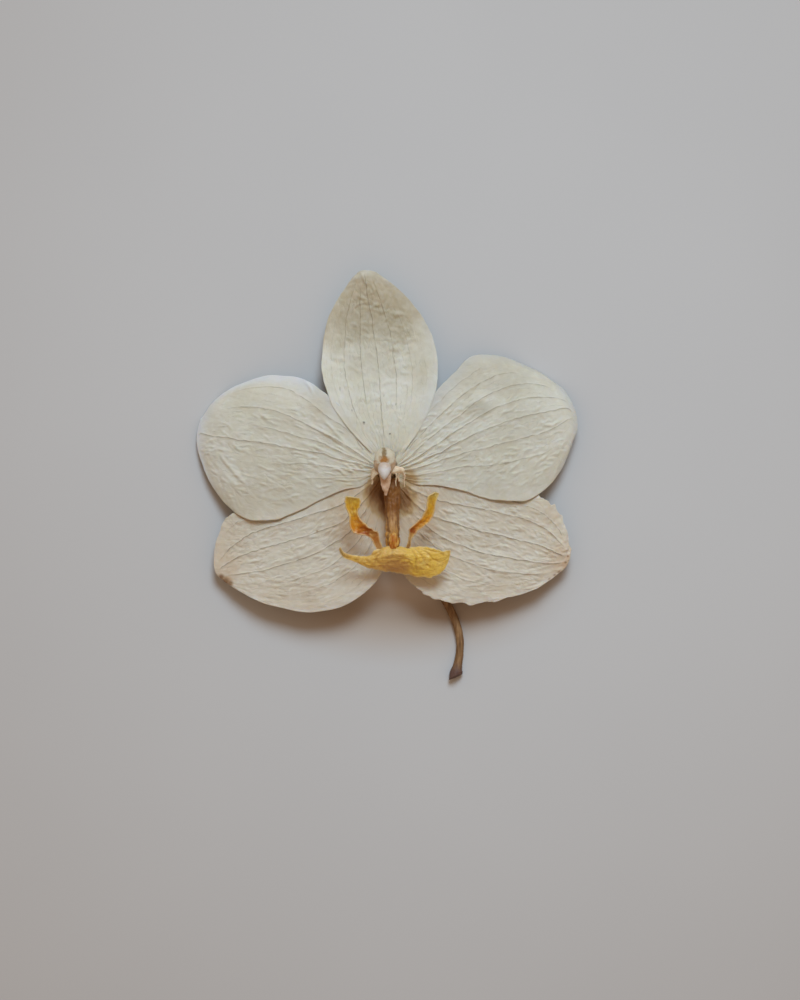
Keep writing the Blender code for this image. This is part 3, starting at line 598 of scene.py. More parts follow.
def vein_numbers(veins, t, along, v, half_width, seed):
    """Count veins across a blade: whole numbers lie on veins, and gap is the spacing in mm."""
    past_edge = 1.25
    lines = [np.full_like(t, -past_edge)]
    for k, vein in enumerate(veins):
        lane = np.full_like(t, k * 3.1)
        slow_sway = 0.30 * noise_at(along / 5.0, lane, seed)
        quick_sway = 0.16 * noise_at(along / 1.1, lane, seed + 9)
        drift = (slow_sway + quick_sway) * np.clip(along / 8.0, 0.1, 1.0)
        curve = smooth_values([(value,) for value in vein[:3]], (t - 0.05) / 0.9)[:, 0]
        lines.append(curve + drift / np.maximum(half_width, 1.0))
    lines.append(np.full_like(t, past_edge))
    index = np.zeros_like(t)
    gap = np.ones_like(t)
    for k, (low, high) in enumerate(zip(lines[:-1], lines[1:])):
        inside = (v >= low) & (v < high)
        index[inside] = k + ((v - low) / (high - low))[inside]
        gap[inside] = ((high - low) * half_width)[inside]
    strength = np.zeros_like(t)
    nearest = np.rint(index).astype(int)
    for k, (_, _, _, force, begins, ends) in enumerate(veins, start=1):
        shown = force * eased(t, begins - 0.08, begins + 0.04) * (1 - eased(t, ends - 0.12, ends))
        strength[nearest == k] = shown[nearest == k]
    return index, gap, strength


def short_puckers(count, middle, reach, length, lean, height, seed):
    """Creases: short bowed ridges at random places in an oval, each leaning about the same way."""
    dice = random.Random(seed)
    puckers = []
    for _ in range(count):
        turn, away = dice.uniform(0, 2 * pi), dice.random() ** 0.5
        x = middle[0] + reach[0] * away * cos(turn)
        y = middle[1] + reach[1] * away * sin(turn)
        angle = lean + dice.uniform(-PUCKER_TURN, PUCKER_TURN)
        half = 0.5 * length * dice.uniform(0.6, 1.4)
        bow = PUCKER_BOW * half * dice.uniform(0.2, 1.0)
        step_x, step_y = half * cos(angle), half * sin(angle)
        top = (x - bow * sin(angle), y + bow * cos(angle))
        path = [(x - step_x, y - step_y), top, (x + step_x, y + step_y)]
        puckers.append((path, height * dice.uniform(0.6, 1.2), dice.uniform(*PUCKER_WIDTHS)))
    return puckers


def crease_numbers(creases, x, y):
    """The height of all creases at each point, and how strongly each point lies in a groove."""
    height = np.zeros_like(x)
    groove = np.zeros_like(x)
    for path, depth, width in creases:
        nearest = np.full_like(x, 99.0)
        share = np.zeros_like(x)
        for k, ((x0, y0), (x1, y1)) in enumerate(zip(path[:-1], path[1:])):
            step_x, step_y = x1 - x0, y1 - y0
            run = ((x - x0) * step_x + (y - y0) * step_y) / (step_x**2 + step_y**2)
            run = np.clip(run, 0, 1)
            away = np.hypot(x - x0 - run * step_x, y - y0 - run * step_y)
            closer = away < nearest
            nearest[closer] = away[closer]
            share[closer] = ((k + run) / (len(path) - 1))[closer]
        taper = np.sin(pi * np.clip(share, 0.04, 0.96)) ** 0.6
        profile = np.exp(-((nearest / width) ** 2)) * taper
        height += depth * profile
        if depth < 0:
            groove = np.maximum(groove, profile)
    return height, groove


def blade_lengths(ribs, t, v, reach):
    """How far each point is along its blade, across it and in from its rim, and the half width."""
    near, _, far = rib_points(ribs, t)
    half_width = np.linalg.norm(far - near, axis=1) / 2
    steps = np.linspace(0.0, 1.0, 201)
    midrib = rib_points(ribs, steps)[1]
    run = np.concatenate([[0.0], np.cumsum(np.linalg.norm(np.diff(midrib, axis=0), axis=1))])
    along = np.interp(t, steps, run)
    rim = np.minimum((1.0 - np.abs(v)) * half_width, run[-1] - along)
    return along, reach * half_width, rim, half_width


def pleat_fan(at, pleat_run, seed):
    """Narrow pleats that fan out from a blade's base and fade along it."""
    fade = np.exp(-((at.along / pleat_run) ** 2)) * np.clip(at.along, 0.0, 1.0)
    sway = noise_at(at.along / 2.6, at.index * 0.8, seed + 1)
    fan = noise_at(at.index * 2.3 + 0.7 * sway, at.along / 7.0, seed + 7)
    return (1.0 - 3.0 * np.abs(fan)) * fade


def shrunk_skin(at, pucker_size, seed):
    """The puckers of shrunken skin: crests that meet in a net, and soft lumps between them."""
    wide, long = pucker_size
    bend = 1.3 * noise_at(at.x / 3.0, at.y / 3.0, seed + 8)
    crests = 1.0 - 2.4 * np.abs(noise_at(at.across / wide + bend, at.along / long - bend, seed + 2))
    lumps = 1.6 * noise_at(at.across / wide * 1.3, at.along / long * 1.5, seed + 2, 5.0)
    return 0.55 * crests + 0.6 * lumps


def skin_strength(at, relief, seed):
    """How strongly the skin is puckered at each point, and how pale and smooth its rim is."""
    patchy = eased(noise_at(at.x / 4.0, at.y / 4.0, seed + 6), -0.4, 0.4)
    patchy *= relief["calm"] + (1.0 - relief["calm"]) * eased(at.rim, 0.5, 5.5)
    patchy *= 1.0 + relief["shrivel"] * eased(at.t, 0.8, 1.0)
    paleness = np.maximum(eased(at.v, -0.8, 0.2) * eased(at.t, 0.1, 0.5), eased(at.t, 0.75, 0.95))
    return patchy * (1.0 - relief["faint"] * paleness), paleness


def raised(at, relief, folds, patchy, seed):
    """How far the relief raises each point: folds, veins, pleats, puckers, grit and broad waves."""
    off_vein = np.abs(at.index - np.rint(at.index)) * at.gap
    height = folds + relief["ridge"] * at.strength * np.exp(-((off_vein / relief["ridge_width"]) ** 2))
    height *= 1.0 + relief["base_rise"] * np.exp(-at.along / RISE_RUN)
    height -= relief["sag"] * np.sin(pi * (at.index % 1.0)) ** 2 * eased(at.rim, 0.0, SAG_RIM)
    height += relief["pleats"] * pleat_fan(at, relief["pleat_run"], seed)
    height += relief["pucker"] * shrunk_skin(at, relief["pucker_size"], seed) * (0.35 + patchy)
    height += relief["grit"] * noise_at(at.x / GRIT_SIZE, at.y / GRIT_SIZE, seed + 3) * (0.3 + patchy)
    height += relief["crumple"] * noise_at(at.x / CRUMPLE_SIZE, at.y / CRUMPLE_SIZE, seed + 4)
    rim_waves = noise_at(at.along / RIM_WAVE_LENGTH, np.sign(at.v), seed + 5)
    height += relief["rim_wave"] * rim_waves * np.exp(-at.rim)
    return height * np.clip(at.along / BASE_REST, 0.0, 1.0)


def soft_ovals(at, ovals, mist, low, high):
    """The strongest of several ovals at each point, each fading out from low to high of its reach."""
    strongest = np.zeros_like(at.x)
    for (x, y), (reach_x, reach_y), force in ovals:
        away = np.hypot((at.x - x) / reach_x, (at.y - y) / reach_y) + mist
        strongest = np.maximum(strongest, force * (1.0 - eased(away, low, high)))
    return strongest


def colour_marks(at, groove, tans_and_shades):
    """How brown, how tan (some of these patches are painted shade), and how dark with specks and grooves each
    point is.
    """
    frayed = 0.16 * noise_at(at.x / 1.6, at.y / 2.2, STAIN_SEED)
    frayed += 0.10 * noise_at(at.x / 0.5, at.y / 1.6, STAIN_SEED + 1)
    mist = 0.20 * noise_at(at.x / 3.5, at.y / 3.5, TAN_SEED)
    mist += 0.12 * noise_at(at.x / 1.2, at.y / 1.2, TAN_SEED + 1)
    spots = groove
    for x, y, radius in SPECKS:
        away = np.hypot(at.x - x, at.y - y) / radius
        spots = np.maximum(spots, np.clip(1.5 - away, 0.0, 1.0))
    return soft_ovals(at, STAINS, frayed, 0.1, 1.1), soft_ovals(at, tans_and_shades, mist, 0.35, 1.0), spots


def new_attribute(mesh, name, *columns):
    """Store three numbers for each point of the mesh."""
    attribute = mesh.attributes.new(name, "FLOAT_VECTOR", "POINT")
    attribute.data.foreach_set("vector", np.column_stack(columns).astype(np.float32).ravel())


def flat_grid(rows, columns):
    """A new square grid, and how far across, -1 to 1, and along, 0 to 1, each of its points is."""
    bpy.ops.object.select_all(action="DESELECT")
    bpy.ops.mesh.primitive_grid_add(x_subdivisions=columns, y_subdivisions=rows, size=1.0)
    item = bpy.context.active_object
    flat = np.empty(len(item.data.vertices) * 3)
    item.data.vertices.foreach_get("co", flat)
    flat = flat.reshape(-1, 3)
    return item, flat[:, 0] * 2.0, flat[:, 1] + 0.5


def finish_shape(item, name):
    """Turn every face of the active piece outwards, smooth it, name it and deselect it."""
    bpy.ops.object.mode_set(mode="EDIT")
    bpy.ops.mesh.select_all(action="SELECT")
    bpy.ops.mesh.normals_make_consistent(inside=False)
    bpy.ops.object.mode_set(mode="OBJECT")
    item.data.shade_smooth()
    item.name = name
    item.data.name = name
    item.select_set(False)
    return item


def blade(name, ribs, cells, veins, wave, relief, tissue, seed, creases=(), lifts=(0.0, 0.0), tans_and_shades=()):
    """A fine grid lofted over the ribs, raised by its relief, and given its thickness."""
    item, v, t = flat_grid(*cells)
    ragged = noise_at(t * relief["rags"], np.sign(v), seed)
    ragged += 0.25 * noise_at(t * relief["rags"] * 2.3, np.sign(v), seed, 4.0)
    ragged *= relief["ragged"] * (1.0 + relief["shrivel"] * eased(t, 0.5, 0.8))
    reach = v * (1.0 + ragged * np.abs(v) ** 4)
    place = middle_sheet(ribs, t, reach, wave)
    along, across, rim, half_width = blade_lengths(ribs, t, v, reach)
    index, gap, strength = vein_numbers(veins, t, along, reach, half_width, seed)
    # These x and y stay views of place, so that the marks further down lie on the raised surface
    at = SimpleNamespace(
        t=t, v=v, x=place[:, 0], y=place[:, 1], along=along, across=across, rim=rim,
        index=index, gap=gap, strength=strength * eased(rim, 0.3, 2.0),
    )

    folds, groove = crease_numbers([*creases, *short_puckers(*relief["puckers"], seed)], at.x, at.y)
    patchy, paleness = skin_strength(at, relief, seed)
    height = raised(at, relief, folds, patchy, seed)
    place += upward_normals(ribs, t, reach, wave) * height[:, None]
    place[:, 2] += lifts[0] + (lifts[1] - lifts[0]) * (v + 1.0) / 2
    place[:, 2] = np.maximum(place[:, 2], SURFACE + tissue / 2)
    item.data.vertices.foreach_set("co", (place * MM).ravel())

    # The tan mark carries tan discolouring and painted shade alike
    stain, tan, spots = colour_marks(at, groove, tans_and_shades)
    new_attribute(item.data, "grain", at.index, at.along, at.gap)
    new_attribute(item.data, "marks", at.rim, stain, spots)
    new_attribute(item.data, "spread", at.across, at.t, at.strength)
    new_attribute(item.data, "tone", tan, patchy, paleness)

    solid = item.modifiers.new("tissue", "SOLIDIFY")
    solid.thickness = tissue * MM
    solid.offset = 0.0
    bpy.ops.object.modifier_apply(modifier=solid.name)
    return finish_shape(item, name)


def drawn_ball(name, segments, ring_count, shape):
    """A ball whose points are moved to shape(turn, t), t from one pole, 0, to the other, 1."""
    bpy.ops.object.select_all(action="DESELECT")
    bpy.ops.mesh.primitive_uv_sphere_add(segments=segments, ring_count=ring_count, radius=1.0)
    item = bpy.context.active_object
    for vert in item.data.vertices:
        x, y, z = vert.co
        t = 0.5 - np.arcsin(np.clip(z, -1.0, 1.0)) / pi
        vert.co = Vector(shape(np.arctan2(y, x), t)) * MM
    return finish_shape(item, name)


def level_rings(table, wobble, taper, seed):
    """A shape for drawn_ball: level oval rings closed over flat ends, with an uneven skin.

    Taper narrows every ring towards its lower end, so that an oval becomes a drop.
    """
    cap = 0.12

    def shape(turn, t):
        along = np.clip((t - cap) / (1 - 2 * cap), 0.0, 1.0)
        x, y, height, half_width, half_depth = smooth_values(table, np.array([along]))[0]
        shrink = min(1.0, min(t, 1 - t) / cap)
        skin = noise.noise(Vector((cos(turn) * 1.7, sin(turn) * 1.7, height * 0.9 + seed)))
        skin += 0.5 * noise.noise(Vector((cos(turn) * 4.1, sin(turn) * 4.1, height * 2.3 + seed)))
        swell = shrink * (1.0 + wobble * skin)
        narrow = 1.0 + taper * sin(turn)
        return x + half_width * swell * narrow * cos(turn), y + half_depth * swell * sin(turn), height

    return shape


def stalk_shape(path, radii, folds, slant, seed):
    """A shape for drawn_ball: a round stalk along a path, with lengthwise folds and a slanting end."""
    cap = 0.01
    look_ahead = 0.004
    path = np.array(path)
    radii = np.array([[value] for value in radii])

    def shape(turn, t):
        along = np.clip((t - cap) / (1 - 2 * cap), 0.0, 1.0)
        places = [along, min(along + look_ahead, 1.0), max(along - look_ahead, 0.0)]
        centre, next_one, last_one = smooth_values(path, np.array(places))
        ahead = Vector(next_one - last_one).normalized()
        sideways = Vector((1.0, 0.35, 0.0))
        sideways = (sideways - ahead * sideways.dot(ahead)).normalized()
        upward = sideways.cross(ahead)
        radius = smooth_values(radii, np.array([along]))[0][0] * min(1.0, min(t, 1 - t) / cap)
        fold = noise.noise(Vector((turn * folds / 3, along * 4.0, seed)))
        lump = noise.noise(Vector((cos(turn) * 0.8, sin(turn) * 0.8, along * 22.0 + seed)))
        radius *= 1.0 + 0.10 * fold + 0.07 * lump
        spot = Vector(centre) + (sideways * cos(turn) + upward * sin(turn)) * radius
        spot += ahead * (spot.x - centre[0]) * slant * max(0.0, (along - 0.9) / 0.1)
        spot.z = max(spot.z, SURFACE)
        return spot

    return shape


def callus_shape(turn, t):
    """The callus: three flames side by side, narrow at the far end, on an uneven egg."""
    lift, around = cos(pi * t), sin(pi * t)
    sideways, lengthways = around * cos(turn), around * sin(turn)
    flames = 0.22 * abs(sin(4.2 * sideways)) * max(0.0, lift)
    narrow = 1.0 - 0.45 * max(0.0, lengthways)
    skin = 1.0 + 0.25 * noise.noise(Vector((sideways * 3, lengthways * 2, lift * 2)))
    parts = (sideways * narrow, lengthways, lift - flames)
    return tuple(middle + half * skin * part for middle, half, part in zip(CALLUS_CENTRE, CALLUS_SIZE, parts))


class Value:
    """A number, vector or colour in a tree of nodes. Plain signs add up and multiply numbers."""

    def __init__(self, socket):
        self.socket = socket
        self.tree = socket.id_data

    def __add__(self, other):
        return calc("ADD", self, other)

    def __sub__(self, other):
        return calc("SUBTRACT", self, other)

    def __mul__(self, other):
        return calc("MULTIPLY", self, other)

    def __truediv__(self, other):
        return calc("DIVIDE", self, other)


def feed(socket, source):
    """Link a value to an input, or set a plain number, vector or colour on it."""
    if isinstance(source, Value):
        source.tree.links.new(source.socket, socket)
    elif socket.type == "RGBA":
        socket.default_value = (*source, 1.0)
    else:
        socket.default_value = source


def put(tree, kind, inputs=None, **settings):
    """A new node with its settings and its inputs."""
    node = tree.nodes.new(kind)
    for key, value in settings.items():
        setattr(node, key, value)
    for key, source in (inputs or {}).items():
        feed(node.inputs[key], source)
    return node


def calc(operation, *terms, clamp=False):
    """The result of one sum on numbers, the first of them a value."""
    node = put(terms[0].tree, "ShaderNodeMath", dict(enumerate(terms)), operation=operation, use_clamp=clamp)
    return Value(node.outputs[0])


def vector_calc(operation, *terms, result="Vector"):
    """The result of one sum on vectors, the first of them a value."""
    node = put(terms[0].tree, "ShaderNodeVectorMath", dict(enumerate(terms)), operation=operation)
    return Value(node.outputs[result])


def ramp(value, low, high, start=0.0, end=1.0):
    """Ease a value's range low to high into start to end."""
    limits = {"Value": value, "From Min": low, "From Max": high, "To Min": start, "To Max": end}
    node = put(value.tree, "ShaderNodeMapRange", limits, interpolation_type="SMOOTHSTEP")
    return Value(node.outputs["Result"])


def swayed(value, pattern, depth):
    """A value moved up and down by a noise pattern, by half the depth each way."""
    return value + (pattern - 0.5) * depth


def tint(factor, first, second):
    """Mix two colours by a factor."""
    node = put(factor.tree, "ShaderNodeMix", {0: factor, 6: first, 7: second}, data_type="RGBA")
    return Value(node.outputs[2])


def shades(value, stops):
    """A colour that runs through the stops, each a place from 0 to 1 and a colour."""
    node = put(value.tree, "ShaderNodeValToRGB", {0: value})
    band = node.color_ramp
    band.interpolation = "EASE"
    while len(band.elements) < len(stops):
        band.elements.new(0.5)
    for element, (place, colour) in zip(band.elements, stops):
        element.position = place
        element.color = (*colour, 1.0)
    return Value(node.outputs[0])


def mottle(vector, scale=1.0, detail=4.0, roughness=0.5):
    """Noise, 0 to 1, on a vector."""
    inputs = {"Vector": vector, "Scale": scale, "Detail": detail, "Roughness": roughness}
    return Value(put(vector.tree, "ShaderNodeTexNoise", inputs).outputs[0])


def joined(x, y):
    """A vector from two values."""
    return Value(put(x.tree, "ShaderNodeCombineXYZ", {0: x, 1: y}).outputs[0])


def apart(vector):
    """The three numbers of a vector."""
    return [Value(part) for part in put(vector.tree, "ShaderNodeSeparateXYZ", {0: vector}).outputs]


def stored(tree, name):
    """The three numbers that the blade stored under a name."""
    source = put(tree, "ShaderNodeAttribute", attribute_name=name, attribute_type="GEOMETRY")
    return apart(Value(source.outputs["Vector"]))


def object_place(tree):
    """Object coordinates, in metres."""
    return Value(put(tree, "ShaderNodeTexCoord").outputs["Object"])


def stretched_place(tree, scales):
    """Object coordinates, scaled along each axis."""
    return Value(put(tree, "ShaderNodeMapping", {"Vector": object_place(tree), "Scale": scales}).outputs[0])


def patches_of(tree, size, detail=4.0):
    """Noise, 0 to 1, in patches of about so many millimetres."""
    return mottle(stretched_place(tree, (1 / (size * MM),) * 3), detail=detail)


def distance_from(tree, centre, reach):
    """How far a place is from a centre, as a share of the reach along each axis."""
    offset = vector_calc("SUBTRACT", object_place(tree), [value * MM for value in centre])
    share = vector_calc("DIVIDE", offset, [value * MM for value in reach])
    return vector_calc("LENGTH", share, result="Value")


def group_shell(name, inputs, outputs):
    """An empty node group, what its named number inputs give, and its named outputs."""
    group = bpy.data.node_groups.new(name, "ShaderNodeTree")
    for labels, side in ((inputs, "INPUT"), (outputs, "OUTPUT")):
        for label in labels:
            group.interface.new_socket(name=label, in_out=side, socket_type="NodeSocketFloat")
    given = group.nodes.new("NodeGroupInput").outputs
    return group, [Value(given[label]) for label in inputs], group.nodes.new("NodeGroupOutput").inputs


def vein_line_group():
    """A thin soft line on every vein, and on any finer veins between them."""
    group, (vein, gap, finer, width), result = group_shell(
        "vein_lines", ("Vein", "Gap", "Finer", "Width"), ("Line",))
    nearest = calc("FRACT", vein * finer + 0.5) - 0.5
    share = calc("DIVIDE", calc("ABSOLUTE", nearest) * (gap / finer), width, clamp=True)
    feed(result["Line"], ramp(share, 0.0, 1.0, 1.0, 0.0))
    return group


def tissue_group():
    """The skin of dried tissue: fine fibres along the veins, and small puckered cells."""
    group, (across, along, cell), result = group_shell(
        "dried_tissue", ("Across", "Along", "Cell"), ("Fibres", "Puckers"))
    feed(result["Fibres"], mottle(joined(across * 3.2, along * 0.7), roughness=0.6))
    cells = joined(across / cell, along / (cell * 1.8))
    warp = mottle(cells, 0.8, 2.0)
    bent = vector_calc("ADD", cells, joined(warp * 1.2, warp * 1.9))
    net = put(group, "ShaderNodeTexVoronoi", {"Vector": bent, "Scale": 1.0}, feature="DISTANCE_TO_EDGE")
    feed(result["Puckers"], ramp(Value(net.outputs["Distance"]), 0.0, 0.3))
    return group


VEIN_LINES = vein_line_group()
DRIED_TISSUE = tissue_group()


def vein_lines(vein, gap, finer, width):
    """The shared vein lines, with a material's own spacing and width in mm."""
    inputs = {"Vein": vein, "Gap": gap, "Finer": finer, "Width": width}
    return Value(put(vein.tree, "ShaderNodeGroup", inputs, node_tree=VEIN_LINES).outputs["Line"])


def skin_height(across, along, cell):
    """The height of dried tissue's fibres and puckers, for a bump."""
    inputs = {"Across": across, "Along": along, "Cell": cell}
    skin = put(across.tree, "ShaderNodeGroup", inputs, node_tree=DRIED_TISSUE).outputs
    return Value(skin["Fibres"]) * 0.5 + Value(skin["Puckers"]) * 0.4


def new_material(name, roughness, specular=0.3, spread=None):
    """A material, its tree and its shader. Spread is how much light runs under the skin, and how far."""
    material = bpy.data.materials.new(name)
    material.use_nodes = True
    shader = material.node_tree.nodes["Principled BSDF"]
    shader.inputs["Roughness"].default_value = roughness
    shader.inputs["Specular IOR Level"].default_value = specular
    if spread is not None:
        weight, distance = spread
        shader.inputs["Subsurface Weight"].default_value = weight
        shader.inputs["Subsurface Radius"].default_value = (1.0, 0.72, 0.45)
        shader.inputs["Subsurface Scale"].default_value = distance * MM
    return material, material.node_tree, shader


def finish_skin(shader, colour, height=None, depth=0.0, roughness=None):
    """Give a shader its colour, a bump whose height stands for so many mm, and an uneven gloss."""
    feed(shader.inputs["Base Color"], colour)
    if height is not None:
        bump = put(height.tree, "ShaderNodeBump", {"Strength": 1.0, "Distance": depth * MM, "Height": height})
        feed(shader.inputs["Normal"], Value(bump.outputs[0]))
    if roughness is not None:
        feed(shader.inputs["Roughness"], roughness)


def tepal_material(name, look):
    """Dried white tissue: cream at its base, tan towards one end and in patches, some of them painted shade,
    brown where it is stained.
    """
    material, tree, shader = new_material(name, 0.62, 0.28, (0.6, 0.45))
    vein, along, gap = stored(tree, "grain")
    rim, stain, spots = stored(tree, "marks")
    across, _, strength = stored(tree, "spread")
    tan, patchy, paleness = stored(tree, "tone")
    patches = patches_of(tree, 7.0)
    fine = patches_of(tree, 1.1, 3.0)

    colour = tint(ramp(patches, 0.35, 0.70), look["pale"], look["aged"])
    colour = tint(ramp(fine, 0.5, 0.75, 0.0, 0.3), colour, CHALK)
    pale_rim = paleness * ramp(rim + patches * 2.2, 1.0, 4.5, look["rim"], 0.0)
    colour = tint(pale_rim, colour, look["rim_tone"])
    # Tan discolouring, and painted shade where its patches stand for shade
    tanned = tan * ramp(fine, 0.3, 0.7, 1.0, 0.75) * ramp(rim, 0.2, 2.6, look["tan_rim"], 1.0)
    colour = tint(tanned, colour, look["tan"])
    warmth = ramp(along, 2.0, look["base_reach"], 0.6, 0.0) * ramp(fine, 0.35, 0.65, 1.0, 0.4)
    colour = tint(warmth, colour, look["base"])

    breaks = mottle(joined(vein, along * 0.45), detail=3.0)
    main = vein_lines(vein, gap, 1.0, 0.11) * (strength * ramp(breaks, 0.35, 0.6, 0.35, 1.5))
    strayed = vein + (mottle(joined(vein, along), 1.1, 2.0) - 0.5) * 1.2 / gap
    finer = vein_lines(strayed, gap, 3.0, 0.10) * ramp(breaks, 0.48, 0.66, 0.0, 0.5) * ramp(rim, 1.0, 4.0)
    lines = calc("MAXIMUM", main, finer, clamp=True)
    colour = tint(lines * look["lines"], colour, VEIN_GREY)

    colour = tint(ramp(stain, 0.0, 0.35), colour, shades(stain, STAIN_SHADES))
    colour = tint(spots * 0.9, colour, look["speck"])
    height = skin_height(across, along, look["cell"]) + lines * 0.3
    height = height * ramp(patchy, 0.0, 1.0, 0.35, 1.0)
    finish_skin(shader, colour, height, 0.12, ramp(fine, 0.3, 0.8, 0.52, 0.70))
    return material


def lip_material(name, stops, shadow_at, shadow_reach):
    """Dried lip tissue: colours from root to tip, a fold tone (painted shade on the midlobe's keel, where it
    turns down away from the lamp, and the side lobes' own orange at their bend), darker veins and a pale rim.
    """
    material, tree, shader = new_material(name, 0.45, 0.4, (0.3, 0.7))
    vein, along, gap = stored(tree, "grain")
    rim, _, spots = stored(tree, "marks")
    across, up, _ = stored(tree, "spread")
    patches = patches_of(tree, 1.8)
    fine = patches_of(tree, 0.5, 3.0)
    colour = shades(swayed(up, patches, 0.25), stops)
    colour = tint(ramp(patches, 0.48, 0.75, 0.0, 0.45), colour, LIP_STRAW)
    colour = tint(ramp(fine, 0.52, 0.72, 0.0, 0.28), colour, LIP_RUST)
    line = vein_lines(vein, gap, 2.0, 0.12) * ramp(fine, 0.4, 0.6, 0.0, 0.3)
    colour = tint(calc("MAXIMUM", line, spots * 0.45), colour, LIP_VEIN)
    # The fold tone: painted shade on the midlobe's keel, and real orange at the side lobes' bend
    keel = swayed(distance_from(tree, shadow_at, shadow_reach), patches, 0.7)
    colour = tint(ramp(keel, 0.5, 1.1, 0.85, 0.0), colour, LIP_FOLD_TONE_AND_SHADE)
    colour = tint(ramp(rim, 0.0, 0.3, 0.6, 0.0), colour, LIP_RIM)
    finish_skin(shader, colour, skin_height(across, along, 0.7), 0.10, ramp(fine, 0.3, 0.8, 0.36, 0.6))
    return material


def claw_material():
    """The lip's claw: dark brown at the column, tan towards the lobes, with two dark lines."""
    material, tree, shader = new_material("claw_tissue", 0.5, 0.35, (0.2, 0.5))
    vein, along, gap = stored(tree, "grain")
    across, up, _ = stored(tree, "spread")
    patches = patches_of(tree, 1.0)
    streaks = mottle(joined(across * 3.0, along * 0.35), roughness=0.6)
    colour = shades(swayed(up, patches, 0.22), CLAW_SHADES)
    colour = tint(ramp(patches, 0.5, 0.7, 0.0, 0.5), colour, CLAW_PATCH)
    colour = tint(ramp(streaks, 0.48, 0.68, 0.0, 0.6), colour, CLAW_STREAK)
    line = vein_lines(vein, gap, 1.0, 0.34) * ramp(calc("ABSOLUTE", across), 0.4, 0.8)
    line = line * ramp(patches, 0.35, 0.55, 0.5, 0.85) * ramp(up, 0.3, 0.6, 0.25, 1.0)
    finish_skin(shader, tint(line, colour, CLAW_LINE), streaks, 0.30)
    return material


def plain_tissue(name, first, second, patch, roughness, bump, specular=0.3):
    """Small organs: two colours in soft patches over a finely uneven skin."""
    material, tree, shader = new_material(name, roughness, specular, (0.25, 0.4))
    colour = tint(ramp(patches_of(tree, patch), 0.35, 0.68), first, second)
    finish_skin(shader, colour, patches_of(tree, patch * 0.3), bump)
    return material, tree, shader, colour


def callus_material():
    """The callus: red-brown flames that run out into amber between and beside them."""
    material, tree, shader, colour = plain_tissue(
        "callus_skin", (0.44, 0.13, 0.014), (0.55, 0.22, 0.025), 0.7, 0.42, 0.10, 0.4)
    flames = mottle(stretched_place(tree, (1600.0, 350.0, 500.0)), detail=2.0)
    finish_skin(shader, tint(ramp(flames, 0.48, 0.62, 0.0, 0.85), colour, AMBER))
    return material


def column_material():
    """Dry pinkish column tissue, grey-green on its domed back, with painted shade darkening it towards its
    foot, and a brown flame-shaped scar.
    """
    material, tree, shader, colour = plain_tissue(
        "column_tissue", (0.55, 0.41, 0.28), (0.40, 0.25, 0.14), 1.3, 0.5, 0.12)
    _, y, z = apart(object_place(tree))
    rough = patches_of(tree, 0.55)
    dome = swayed(distance_from(tree, (-0.3, 3.9, 12.4), (2.6, 2.4, 3.0)), rough, 1.0)
    colour = tint(ramp(dome, 0.7, 1.1, 0.9, 0.0), colour, DOME_GREY)
    # Painted shade: the column darkens from its shoulders down to its foot, deep among the tepals
    colour = tint(ramp(z, 10.6 * MM, 12.4 * MM, 0.75, 0.0), colour, COLUMN_SHADE)
    tail = distance_from(tree, (-0.45, 4.0, 12.4), (0.6, 2.0, 3.0))
    mouth = distance_from(tree, (-0.4, 2.9, 12.6), (1.3, 1.0, 3.0))
    flame = swayed(calc("MINIMUM", tail, mouth), rough, 0.9)
    scar = tint(ramp(y, 2.9 * MM, 4.1 * MM), SCAR_RUST, SCAR_BROWN)
    finish_skin(shader, tint(ramp(flame, 0.45, 1.05, 1.0, 0.0), colour, scar))
    return material


def anther_material():
    """The anther cap: smooth white, pinkish grey where it meets the column's top."""
    material, tree, shader, colour = plain_tissue(
        "anther_skin", (0.76, 0.75, 0.75), (0.68, 0.66, 0.65), 1.0, 0.34, 0.03, 0.45)
    _, y, _ = apart(object_place(tree))
    finish_skin(shader, tint(ramp(y, 0.8 * MM, 1.8 * MM, 0.0, 0.95), colour, ANTHER_SEAM))
    return material


def stalk_material():
    """Shrivelled brown stem: lengthwise streaks, darker and purplish at the cut end."""
    material, tree, shader = new_material("stalk_skin", 0.62, 0.35)
    streaks = mottle(stretched_place(tree, (1900.0, 220.0, 1900.0)), detail=5.0, roughness=0.6)
    _, y, _ = apart(object_place(tree))
    colour = tint(ramp(streaks, 0.32, 0.68), (0.15, 0.070, 0.026), (0.37, 0.215, 0.10))
    colour = tint(ramp(patches_of(tree, 1.6, 3.0), 0.42, 0.62, 0.0, 0.65), colour, (0.21, 0.115, 0.045))
    colour = tint(ramp(y, -40.0 * MM, -37.0 * MM, 0.85, 0.0), colour, CUT_PURPLE)
    finish_skin(shader, colour, streaks, 0.16)
    return material


def dress(piece, node, material):
    """Give a finished piece its material and its place in the frame."""
    piece.data.materials.clear()
    piece.data.materials.append(material)
    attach(piece, "root")
    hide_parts(node)


def make_tepals():
    """The dorsal sepal, the two petals and the two lateral sepals."""
    for seed, (name, (ribs, relief, look)) in enumerate(TEPALS.items(), start=1):
        relief = {**relief, "puckers": TEPAL_PUCKERS[name]}
        piece = blade(name + "_tissue", ribs, TEPAL_CELLS, TEPAL_VEINS[name], TEPAL_WAVES[name],
                      relief, TISSUE, seed, CREASES[name], TEPAL_LIFTS[name], TAN_AND_SHADE_PATCHES[name])
        dress(piece, name, tepal_material(name + "_skin", look))


